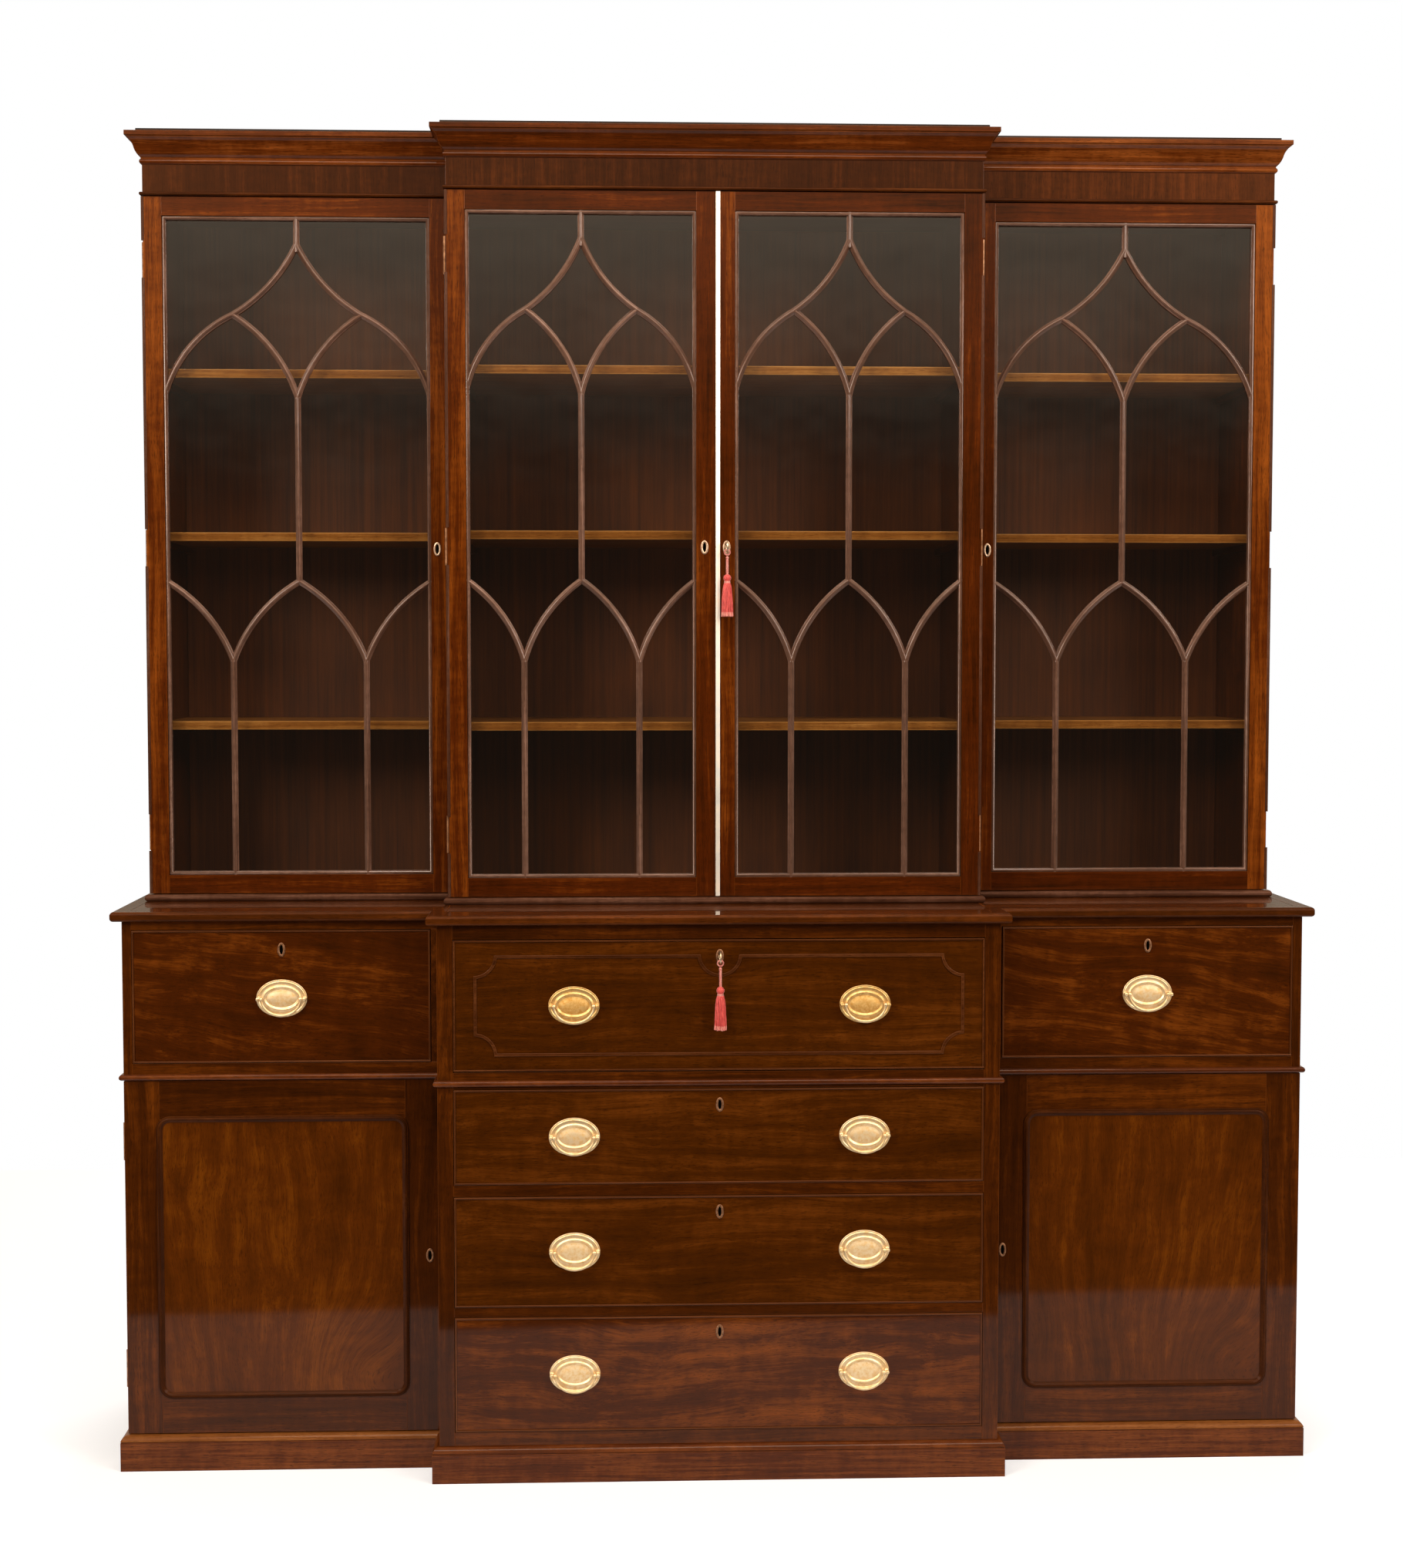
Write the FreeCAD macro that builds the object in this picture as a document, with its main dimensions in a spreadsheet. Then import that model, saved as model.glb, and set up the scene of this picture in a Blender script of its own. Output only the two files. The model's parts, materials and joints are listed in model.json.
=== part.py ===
import FreeCAD, Part
import math
import operator
import os
from types import SimpleNamespace

import Sketcher
from FreeCAD import Placement, Rotation, Vector

# Secretaire bookcase with a breakfront: an upper case with four astragal glazed doors stands on a
# lower case with a secretaire drawer, three long drawers, two deep drawers and two cupboards.
# Millimetres. +X to the right, +Y to the back, +Z up, origin at the middle of the floor area.

doc = FreeCAD.newDocument("SecretaireBookcase")

# Driving dimensions
SIZES = {
    "lower case": {
        "lower_width": 2066,
        "lower_centre_width": 968,
        "wing_depth": 478,
        "breakfront": 82,
        "side_board": 16,
        "partition": 27,
        "rail_depth": 45,
        "floor_board": 14,
        "dust_board": 10,
        "back_board": 9,
        "bottom_rail": 24,
        "low_drawer_height": 201,
        "low_rail": 17,
        "middle_drawer_height": 193,
        "middle_rail": 20,
        "top_drawer_height": 166,
        "waist_rail": 29,
        "writing_height": 229,
        "crown_rail": 25,
        "wing_rail": 29,
        "wing_crown_rail": 16,
        "waist_drop": 5,
    },
    "plinth, counter and mouldings": {
        "plinth_height": 62,
        "plinth_reach": 12,
        "plinth_cap": 10,
        "plinth_quirk": 1.6,
        "plinth_board": 20,
        "counter_thickness": 17,
        "counter_reach": 17,
        "counter_edge": 30,
        "counter_round": 6,
        "waist_bead": 10,
        "waist_reach": 7,
        "base_bead": 12,
        "base_reach": 10,
        "fillet_bead": 6,
        "fillet_reach": 5,
        "frieze_height": 55,
        "cornice_height": 54,
        "cornice_reach": 26,
        "cornice_bed": 16,
        "cornice_bead": 9,
        "cornice_bead_rise": 2.4,
        "cornice_foot": 1.6,
        "cornice_step": 3.5,
        "cornice_lip": 8,
        "cornice_ogee": 30,
        "cornice_quirk": 2,
        "top_board": 7,
        "top_board_reach": 9,
    },
    "upper case": {
        "upper_inset": 18,
        "upper_centre_inset": 11,
        "upper_setback": 170,
        "upper_partition": 18,
        "upper_floor": 16,
        "glazed_door_height": 1242,
        "shelf_thickness": 16,
        "shelf_setback": 14,
        "first_shelf": 307.5,
        "second_shelf": 341,
        "third_shelf": 292.5,
        "bearer": 12,
        "shelf_gap": 0.4,
    },
    "doors": {
        "door_thickness": 22,
        "door_stile": 33,
        "door_seat": 1.2,
        "door_lift": 1.5,
        "door_side_gap": 2,
        "meeting_gap": 1.1,
        "glass_thickness": 3,
        "glass_clearance": 0.4,
        "bar_width": 11,
        "bar_depth": 9,
        "bar_recess": 2,
        "lip_width": 7,
        "cupboard_stile": 60.5,
        "cupboard_rail": 67.5,
        "panel_back_gap": 6,
        "panel_moulding": 11,
        "panel_moulding_height": 5,
        "panel_corner": 24,
        "strip_width": 8,
        "strip_height": 3,
        "knuckle_radius": 3,
        "knuckle_offset": 3.2,
        "knuckle_gap": 0.3,
        "hinge_length": 66,
        "hinge_leaf": 14,
        "hinge_pin": 1.2,
        "pin_clearance": 0.05,
        "leaf_thickness": 0.5,
        "hinge_inset": 110,
        "keyhole_inset": 18.5,
        "wing_keyhole_inset": 22,
        "keyhole_rise": 619.5,
    },
    "drawers": {
        "front_thickness": 20,
        "front_gap": 1,
        "drawer_side": 8,
        "drawer_bottom": 6,
        "bottom_groove": 6,
        "drawer_drop": 10,
        "drawer_clearance": 0.5,
        "runner_clearance": 0.3,
        "back_clearance": 12,
        "bead_width": 3,
        "bead_reach": 2.5,
        "long_handle_place": 250,
        "escutcheon_drop": 29,
        "deep_escutcheon_drop": 35,
        "deep_handle_drop": 3.5,
    },
    "writing drawer": {
        "fall_thickness": 22,
        "fall_bottom_gap": 2,
        "fall_top_gap": 1.5,
        "pivot_rise": 24,
        "pivot_inset": 6.5,
        "pivot_pin": 2.5,
        "pivot_boss": 5,
        "pivot_plate": 3,
        "pivot_clearance": 0.05,
        "joint_clearance": 0.5,
        "stay_channel": 4,
        "stay_thickness": 3,
        "stay_lining": 5,
        "stay_drop": 51.5,
        "stay_width": 11,
        "stay_tail": 22,
        "writing_bed": 20,
        "writing_reach": 200,
        "pigeonhole_board": 6,
        "pigeonhole_drop": 6.5,
        "fall_border_side": 35,
        "fall_border_end": 26,
        "fall_moulding": 5,
        "fall_moulding_height": 2,
        "fall_corner": 35,
        "fall_dip": 33,
    },
    "brassware": {
        "plate_width": 88,
        "plate_height": 66,
        "plate_thickness": 1.6,
        "ring_margin": 11,
        "ring_band": 5,
        "ring_rise": 1.8,
        "post_radius": 3,
        "post_inset": 4,
        "post_reach": 12,
        "post_end": 2.5,
        "bail_radius": 2.4,
        "bail_inset": 6,
        "bail_drop": 29,
        "eye_radius": 3.8,
        "eye_length": 5,
        "bail_pin": 1.5,
        "bail_clearance": 0.06,
        "eye_gap": 0.4,
        "escutcheon_width": 14,
        "escutcheon_height": 25,
        "escutcheon_thickness": 1.4,
        "escutcheon_rim": 4.3,
        "keyhole_depth": 9,
    },
    "keys and tassels": {
        "key_shank": 2.4,
        "key_clearance": 0.2,
        "key_depth": 17,
        "key_standoff": 8,
        "key_collar": 3.6,
        "key_collar_length": 3,
        "bow_length": 24,
        "bow_height": 21,
        "bow_rim": 4,
        "bow_thickness": 2.6,
        "loop_wire": 1.4,
        "loop_radius": 4.8,
        "loop_gap": 0.5,
        "knot_radius": 2.8,
        "knot_overlap": 1,
        "cord_radius": 2.5,
        "upper_cord_length": 31,
        "lower_cord_length": 32.5,
        "tassel_knob": 7,
        "tassel_neck": 7,
        "tassel_skirt": 11,
        "tassel_length": 68,
        "tassel_overlap": 4,
    },
}

# Glazing bar pattern, as shares of the glass width and height
QUARTER_BAR_SHARE = 0.249
LOWER_FORK_SHARE = 0.328
LOWER_ARCH_SHARE = 0.4495
UPPER_SPRING_SHARE = 0.728
APEX_ACROSS_SHARE = 0.259
APEX_SHARE = 0.853
CROWN_SHARE = 0.959
# How far each curved bar bows from its chord, as a share of the chord
LOWER_BOW_SHARE = 0.088
ARCH_BOW_SHARE = 0.112
INNER_BOW_SHARE = 0.09
OGEE_BOW_SHARE = -0.075

PIGEONHOLES = 6
LEFT, RIGHT = -1, 1


class Size:
    """A length worked out from the sheet: its expression, and its value now."""

    def __init__(self, text, value):
        self.text = text
        self.value = value

    def joined(self, other, sign, work, swapped=False):
        first, second = (as_size(other), self) if swapped else (self, as_size(other))
        return Size(f"({first.text} {sign} {second.text})", work(first.value, second.value))

    def __add__(self, other):
        return self.joined(other, "+", operator.add)

    def __radd__(self, other):
        return self.joined(other, "+", operator.add, swapped=True)

    def __sub__(self, other):
        return self.joined(other, "-", operator.sub)

    def __rsub__(self, other):
        return self.joined(other, "-", operator.sub, swapped=True)

    def __mul__(self, other):
        return self.joined(other, "*", operator.mul)

    def __rmul__(self, other):
        return self.joined(other, "*", operator.mul, swapped=True)

    def __truediv__(self, other):
        return self.joined(other, "/", operator.truediv)

    def __neg__(self):
        return Size(f"(0 - {self.text})", -self.value)


def as_size(amount):
    return amount if isinstance(amount, Size) else Size(repr(amount), float(amount))


def root(amount):
    return Size(f"sqrt({amount.text})", math.sqrt(amount.value))


def write_sheet():
    """Write every driving dimension into the sheet and return them by name."""
    sheet = doc.addObject("Spreadsheet::Sheet", "Sizes")
    named = SimpleNamespace()
    row = 1
    for group, sizes in SIZES.items():
        sheet.set(f"A{row}", group)
        row += 1
        for name, value in sizes.items():
            sheet.set(f"A{row}", name.replace("_", " "))
            sheet.set(f"B{row}", str(value))
            sheet.setAlias(f"B{row}", name)
            setattr(named, name, Size(f"Sizes.{name}", float(value)))
            row += 1
    doc.recompute()
    return named


s = write_sheet()
ZERO = as_size(0)
nodes = []

# Turns that take a primitive's own axes to the part's
UPRIGHT = Rotation()
ALONG_X = Rotation(Vector(0, 1, 0), 90)
ALONG_Y = Rotation(Vector(1, 0, 0), -90)
FACING_FRONT = Rotation(Vector(1, 0, 0), Vector(0, 0, 1), Vector(0, -1, 0), "XYZ")
FACING_SIDE = Rotation(Vector(0, 1, 0), Vector(0, 0, 1), Vector(1, 0, 0), "XYZ")

# Plan: where the faces of the two cases are
lower_half = s.lower_width / 2
lower_centre = s.lower_centre_width / 2
upper_half = lower_half - s.upper_inset
upper_centre = lower_centre - s.upper_centre_inset
key_reach = s.escutcheon_thickness + s.key_standoff + s.bow_length
rear = (s.wing_depth + s.breakfront + key_reach) / 2
wing_front = rear - s.wing_depth
centre_front = wing_front - s.breakfront
upper_wing_front = wing_front + s.upper_setback
upper_centre_front = centre_front + s.upper_setback
back_inside = rear - s.back_board
seat = s.door_thickness + s.door_seat

# Levels of the lower case
low_drawer_floor = s.plinth_height + s.bottom_rail
low_drawer_top = low_drawer_floor + s.low_drawer_height
middle_drawer_floor = low_drawer_top + s.low_rail
middle_drawer_top = middle_drawer_floor + s.middle_drawer_height
top_drawer_floor = middle_drawer_top + s.middle_rail
top_drawer_top = top_drawer_floor + s.top_drawer_height
writing_floor = top_drawer_top + s.waist_rail
writing_top = writing_floor + s.writing_height
lower_top = writing_top + s.crown_rail
wing_drawer_top = lower_top - s.wing_crown_rail
waist_level = top_drawer_top + s.waist_drop
wing_drawer_floor = waist_level + s.wing_rail
cupboard_door_low = s.plinth_height + s.door_lift
cupboard_door_high = waist_level - s.door_lift

# Levels of the upper case
counter_level = lower_top + s.counter_thickness
glazed_door_low = counter_level + s.base_bead + s.door_lift
glazed_door_high = glazed_door_low + s.glazed_door_height
keyhole_level = glazed_door_low + s.keyhole_rise
frieze_level = glazed_door_high + s.door_lift
cornice_level = frieze_level + s.frieze_height
shelf_levels = [counter_level + s.upper_floor + s.first_shelf]
shelf_levels.append(shelf_levels[0] + s.second_shelf)
shelf_levels.append(shelf_levels[1] + s.third_shelf)


def bind(piece, setting, amount):
    piece.setExpression(setting, as_size(amount).text)


def place(piece, base, turn=UPRIGHT):
    piece.Placement = Placement(Vector(), turn)
    for axis, amount in zip("xyz", base):
        bind(piece, "Placement.Base." + axis, amount)
    return piece


def box(name, across, along, up):
    """A board between a low and a high place across (X), along (Y) and up (Z)."""
    board = doc.addObject("Part::Box", name)
    for setting, (low, high) in zip(("Length", "Width", "Height"), (across, along, up)):
        bind(board, setting, high - low)
    return place(board, (across[0], along[0], up[0]))


def rod(name, start, turn, length, radius):
    piece = doc.addObject("Part::Cylinder", name)
    bind(piece, "Radius", radius)
    bind(piece, "Height", length)
    return place(piece, start, turn)


def ball(name, centre, radius):
    piece = doc.addObject("Part::Sphere", name)
    bind(piece, "Radius", radius)
    return place(piece, centre)


def oval(name, centre, wide, tall, thick, turn):
    """An oval plate: wide along the turned X, tall along the turned Y."""
    edge = doc.addObject("Part::Ellipse", name + "_edge")
    upright = tall.value > wide.value
    bind(edge, "MajorRadius", (tall if upright else wide) / 2)
    bind(edge, "MinorRadius", (wide if upright else tall) / 2)
    if upright:
        edge.Placement = Placement(Vector(), Rotation(Vector(0, 0, 1), 90))
    return extruded(name, edge, thick, centre, turn)


def extruded(name, outline, length, base, turn):
    piece = doc.addObject("Part::Extrusion", name)
    piece.Base = outline
    piece.DirMode = "Custom"
    piece.Dir = Vector(0, 0, 1)
    piece.Solid = True
    bind(piece, "LengthFwd", length)
    return place(piece, base, turn)


def fused(name, pieces):
    piece = doc.addObject("Part::MultiFuse", name)
    piece.Shapes = pieces
    return piece


def cut(name, body, tools):
    piece = doc.addObject("Part::Cut", name)
    piece.Base = body
    piece.Tool = tools[0] if len(tools) == 1 else fused(name + "_tools", tools)
    return piece


def node(label, pieces):
    """One sub-part: its solids together under its own name."""
    group = doc.addObject("Part::Compound", label)
    group.Label = label
    group.Links = pieces
    nodes.append(group)
    return group


def across(side, near, far):
    """The low and high X between two distances from the middle, on one side."""
    return (near, far) if side == RIGHT else (-far, -near)


def out(side, amount):
    """The X of one distance from the middle, on one side."""
    return amount if side == RIGHT else -amount


def sketch(name, outline):
    """A closed outline. A point is (x, y), or (x, y, radius, turn) where an arc leads to it;
    turn is 1 for an arc that goes anticlockwise, and -1 for one that goes clockwise."""
    drawing = doc.addObject("Sketcher::SketchObject", name)
    points = [Vector(as_size(p[0]).value, as_size(p[1]).value, 0) for p in outline]
    ends = []
    for index, point in enumerate(outline):
        start, end = points[index - 1], points[index]
        if len(point) == 2:
            drawing.addGeometry(Part.LineSegment(start, end), False)
            ends.append((1, 2))
            continue
        radius, turn = as_size(point[2]), point[3]
        chord = end - start
        to_centre = math.sqrt(max(radius.value ** 2 - (chord.Length / 2) ** 2, 0))
        aside = Vector(-chord.y, chord.x, 0).normalize() * (to_centre * turn)
        centre = (start + end) * 0.5 + aside
        first, last = (start, end) if turn == 1 else (end, start)
        begin = math.atan2(first.y - centre.y, first.x - centre.x)
        finish = math.atan2(last.y - centre.y, last.x - centre.x)
        finish += 2 * math.pi if finish < begin else 0
        circle = Part.Circle(centre, Vector(0, 0, 1), radius.value)
        drawing.addGeometry(Part.ArcOfCircle(circle, begin, finish), False)
        ends.append((1, 2) if turn == 1 else (2, 1))
        drawing.addConstraint(Sketcher.Constraint("Radius", index, radius.value))
        drawing.setExpression(f"Constraints[{drawing.ConstraintCount - 1}]", radius.text)
    for index, point in enumerate(outline):
        following = (index + 1) % len(outline)
        joint = ("Coincident", index, ends[index][1], following, ends[following][0])
        drawing.addConstraint(Sketcher.Constraint(*joint))
        for kind, axis, amount in (("DistanceX", -2, point[0]), ("DistanceY", -1, point[1])):
            amount = as_size(amount)
            if amount.text == ZERO.text:
                on_axis = ("PointOnObject", index, ends[index][1], axis)
                drawing.addConstraint(Sketcher.Constraint(*on_axis))
                continue
            measure = (kind, -1, 1, index, ends[index][1], amount.value)
            drawing.addConstraint(Sketcher.Constraint(*measure))
            drawing.setExpression(f"Constraints[{drawing.ConstraintCount - 1}]", amount.text)
    return drawing


def breakfront_path(half, centre_half, wings, centre):
    """The wall line of a case in plan, from its back left corner round to its back right one."""
    return [
        (-half, rear), (-half, wings), (-centre_half, wings), (-centre_half, centre),
        (centre_half, centre), (centre_half, wings), (half, wings), (half, rear),
    ]


def mitred_lengths(name, profile, height, reach, inner, path, level):
    """Lengths of one moulding round a path, mitred where they meet.

    The profile is drawn with its height along X and its reach from the wall along Y; inner is how
    far it goes behind the wall line."""
    runs = []
    for start, end in zip(path, path[1:]):
        step = Vector(end[0].value - start[0].value, end[1].value - start[1].value, 0)
        runs.append(step.normalize())
    lengths = []
    for index, run in enumerate(runs):
        start, end = path[index], path[index + 1]
        axis = 0 if abs(run.x) > abs(run.y) else 1
        forward = run.x + run.y > 0
        length = end[axis] - start[axis] if forward else start[axis] - end[axis]
        first = round(runs[index - 1].cross(run).z) if index else 0
        last = round(run.cross(runs[index + 1]).z) if index + 1 < len(runs) else 0
        over = reach + inner
        stick = extruded(f"{name}_stick", profile, length + 2 * over, (ZERO, ZERO, -over), UPRIGHT)
        mitre = doc.addObject("Part::Wedge", f"{name}_mitre")
        for setting, amount in (
            ("Xmin", ZERO), ("X2min", ZERO), ("Xmax", height), ("X2max", height),
            ("Ymin", -inner), ("Ymax", reach),
            ("Zmin", first * inner), ("Zmax", length - last * inner),
            ("Z2min", -first * reach), ("Z2max", length + last * reach),
        ):
            bind(mitre, setting, amount)
        piece = doc.addObject("Part::MultiCommon", f"{name}_length")
        piece.Shapes = [stick, mitre]
        up = Vector(0, 0, 1)
        place(piece, (start[0], start[1], level), Rotation(up, run.cross(up), run, "XYZ"))
        lengths.append(piece)
    return lengths


lower_path = breakfront_path(lower_half, lower_centre, wing_front, centre_front)
upper_path = breakfront_path(upper_half, upper_centre, upper_wing_front, upper_centre_front)


def bead_profile(name, height, reach):
    """A half-round bead, flat against the wall."""
    radius = (height * height / 4 + reach * reach) / (2 * reach)
    outline = [(ZERO, ZERO, radius, 1), (height, ZERO), (height / 2, reach, radius, 1)]
    return sketch(name, outline)


def base_carcase():
    """Sides, partitions, floors, rails and dust boards of the lower case."""
    depth = (centre_front, back_inside)
    rails = (centre_front, centre_front + s.rail_depth)
    behind = (centre_front + s.rail_depth, back_inside)
    centre_half = lower_centre - s.partition
    inner = (-centre_half, centre_half)
    full = (s.plinth_height, lower_top)
    pieces = []
    for side in (LEFT, RIGHT):
        outer = across(side, lower_half - s.side_board, lower_half)
        wing = across(side, lower_centre, lower_half - s.side_board)
        guide = across(side, lower_centre, lower_centre + s.side_board)
        drawer_zone = (cupboard_door_high + s.door_lift, lower_top)
        pieces += [
            box("case_side", outer, (wing_front + seat, rear), full),
            box("front_stile", outer, (wing_front, wing_front + seat), drawer_zone),
            box("partition", across(side, centre_half, lower_centre), depth, full),
            box("wing_floor", wing, (wing_front + seat, back_inside),
                (s.plinth_height, s.plinth_height + s.floor_board)),
            box("wing_rail", wing, (wing_front, wing_front + s.rail_depth),
                (drawer_zone[0], wing_drawer_floor)),
            box("wing_dust_board", wing, (wing_front + s.rail_depth, back_inside),
                (wing_drawer_floor - s.dust_board, wing_drawer_floor)),
            box("drawer_guide", guide, (wing_front, back_inside),
                (wing_drawer_floor, wing_drawer_top)),
            box("wing_top", wing, (wing_front, back_inside), (wing_drawer_top, lower_top)),
        ]
    for low, high in (
        (s.plinth_height, low_drawer_floor),
        (low_drawer_top, middle_drawer_floor),
        (middle_drawer_top, top_drawer_floor),
        (top_drawer_top, writing_floor),
    ):
        pieces.append(box("drawer_rail", inner, rails, (low, high)))
        pieces.append(box("dust_board", inner, behind, (high - s.dust_board, high)))
    pieces.append(box("crown_rail", inner, rails, (writing_top, lower_top)))
    pieces.append(box("centre_top", inner, behind, (wing_drawer_top, lower_top)))
    node("base_carcase", pieces)


def plinth():
    """Plinth boards with a moulded cap, a back rail and two bearers under the partitions."""
    reach, inner = s.plinth_reach, s.plinth_board - s.plinth_reach
    board_height, quirk = s.plinth_height - s.plinth_cap, s.plinth_quirk
    radius = (reach * reach + s.plinth_cap * s.plinth_cap) / (2 * s.plinth_cap)
    profile = sketch("plinth_profile", [
        (ZERO, -inner), (s.plinth_height, -inner), (s.plinth_height, ZERO),
        (board_height, reach, radius, 1), (board_height, reach - quirk),
        (board_height - quirk, reach - quirk), (board_height - quirk, reach), (ZERO, reach),
    ])
    pieces = mitred_lengths("plinth", profile, s.plinth_height, reach, inner, lower_path, ZERO)
    half = lower_half - inner
    up = (ZERO, s.plinth_height)
    pieces.append(box("plinth_back", (-half, half), (rear - inner, rear), up))
    for side in (LEFT, RIGHT):
        bearer = across(side, lower_centre - s.partition, lower_centre - inner)
        pieces.append(box("plinth_bearer", bearer, (wing_front, rear - inner), up))
    node("plinth", pieces)


def counter_top():
    """Counter boards with a rounded edge moulding, mitred round the breakfront."""
    reach, inner, thick = s.counter_reach, s.counter_edge - s.counter_reach, s.counter_thickness
    r = s.counter_round
    profile = sketch("counter_profile", [
        (ZERO, -inner), (thick, -inner), (thick, reach - r), (thick - r, reach, r, 1),
        (r, reach), (ZERO, reach - r, r, 1),
    ])
    pieces = mitred_lengths("counter_edge", profile, thick, reach, inner, lower_path, lower_top)
    up = (lower_top, counter_level)
    middle = lower_centre - inner
    pieces.append(box("centre_board", (-middle, middle), (centre_front + inner, rear), up))
    for side in (LEFT, RIGHT):
        wing = across(side, middle, lower_half - inner)
        pieces.append(box("wing_board", wing, (wing_front + inner, rear), up))
    node("counter_top", pieces)


def bead_mouldings():
    """The half-round beads at the waist, under the glazed doors and under the frieze."""
    pieces = []
    for name, height, reach, path, level in (
        ("waist", s.waist_bead, s.waist_reach, lower_path, waist_level),
        ("base", s.base_bead, s.base_reach, upper_path, counter_level),
        ("fillet", s.fillet_bead, s.fillet_reach, upper_path, frieze_level),
    ):
        profile = bead_profile(f"{name}_profile", height, reach)
        pieces += mitred_lengths(name, profile, height, reach, ZERO, path, level)
    node("bead_mouldings", pieces)


def upper_carcase():
    """Sides, partitions, floors, tops, base rails and shelf bearers of the upper case."""
    full = (counter_level, cornice_level)
    rail = (counter_level, counter_level + s.base_bead)
    wings = (upper_wing_front + seat, back_inside)
    centre = (upper_centre_front + seat, back_inside)
    bay = upper_centre - s.upper_partition
    pieces = []
    for side in (LEFT, RIGHT):
        outer = across(side, upper_half - s.side_board, upper_half)
        pieces += [
            box("case_side", outer, (upper_wing_front + seat, rear), full),
            box("partition", across(side, bay, upper_centre), centre, full),
            box("wing_base_rail", across(side, upper_centre, upper_half),
                (upper_wing_front, upper_wing_front + seat), rail),
        ]
    pieces.append(box("centre_base_rail", (-upper_centre, upper_centre),
                      (upper_centre_front, upper_centre_front + seat), rail))
    for low in (counter_level, frieze_level):
        up = (low, low + s.upper_floor)
        pieces.append(box("centre_floor", (-bay, bay), centre, up))
        for side in (LEFT, RIGHT):
            wing = across(side, upper_centre, upper_half - s.side_board)
            pieces.append(box("wing_floor", wing, wings, up))
    for level in shelf_levels:
        up = (level - s.shelf_thickness - s.bearer, level - s.shelf_thickness)
        for side in (LEFT, RIGHT):
            for near, far, front in (
                (bay - s.bearer, bay, centre[0]),
                (upper_centre, upper_centre + s.bearer, wings[0]),
                (upper_half - s.side_board - s.bearer, upper_half - s.side_board, wings[0]),
            ):
                along = (front + s.shelf_setback + s.bearer, back_inside)
                pieces.append(box("shelf_bearer", across(side, near, far), along, up))
    node("upper_carcase", pieces)


def back_boards():
    """Back boards of both cases, let in between the sides."""
    pieces = []
    for half, middle, low, high in (
        (lower_half, lower_centre, s.plinth_height, lower_top),
        (upper_half, upper_centre, counter_level, cornice_level),
    ):
        behind = (back_inside, rear)
        pieces.append(box("centre_back", (-middle, middle), behind, (low, high)))
        for side in (LEFT, RIGHT):
            wing = across(side, middle, half - s.side_board)
            pieces.append(box("wing_back", wing, behind, (low, high)))
    node("back_boards", pieces)


def frieze():
    """Three frieze boards above the doors, flush with the door fronts."""
    up = (frieze_level, cornice_level)
    pieces = [box("centre_frieze", (-upper_centre, upper_centre),
                  (upper_centre_front, upper_centre_front + seat), up)]
    for side in (LEFT, RIGHT):
        wing = across(side, upper_centre, upper_half)
        pieces.append(box("wing_frieze", wing, (upper_wing_front, upper_wing_front + seat), up))
    node("frieze", pieces)


def cornice():
    """A cornice of lip, ogee and bead, mitred round the case, with thin boards on top."""
    top, reach, bed, foot = s.cornice_height, s.cornice_reach, s.cornice_bed, s.cornice_foot
    step, bead, quirk, ogee = s.cornice_step, s.cornice_bead, s.cornice_quirk, s.cornice_ogee
    rise = s.cornice_bead_rise
    nose = (bead * bead / 4 + rise * rise) / (2 * rise)
    under_lip = top - s.cornice_lip
    high, low = under_lip - quirk, bead + quirk
    profile = sketch("cornice_profile", [
        (ZERO, -bed), (top, -bed), (top, reach), (under_lip, reach), (under_lip, reach - step),
        (high, reach - step), ((high + low) / 2, (reach - step + foot) / 2, ogee, -1),
        (low, foot, ogee, 1), (bead, foot), (ZERO, foot, nose, 1),
    ])
    pieces = mitred_lengths("cornice", profile, top, reach, bed, upper_path, cornice_level)
    inner = upper_half - bed
    pieces.append(box("cornice_back", (-inner, inner), (rear - bed, rear),
                      (cornice_level, cornice_level + top)))
    up = (cornice_level + top, cornice_level + top + s.top_board)
    edge = s.top_board_reach
    middle = upper_centre + edge
    pieces.append(box("top_board", (-middle, middle), (upper_centre_front - edge, rear), up))
    for side in (LEFT, RIGHT):
        wing = across(side, middle, upper_half + edge)
        pieces.append(box("top_board", wing, (upper_wing_front - edge, rear), up))
    node("cornice", pieces)


def bookshelves():
    """Three loose shelves in each bay, on the bearers."""
    pieces = []
    gap = s.shelf_gap
    bay = upper_centre - s.upper_partition - gap
    for level in shelf_levels:
        up = (level - s.shelf_thickness, level)
        front = seat + s.shelf_setback
        pieces.append(box("centre_shelf", (-bay, bay),
                          (upper_centre_front + front, back_inside - gap), up))
        for side in (LEFT, RIGHT):
            wing = across(side, upper_centre + gap, upper_half - s.side_board - gap)
            pieces.append(box("wing_shelf", wing,
                              (upper_wing_front + front, back_inside - gap), up))
    node("bookshelves", pieces)


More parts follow.
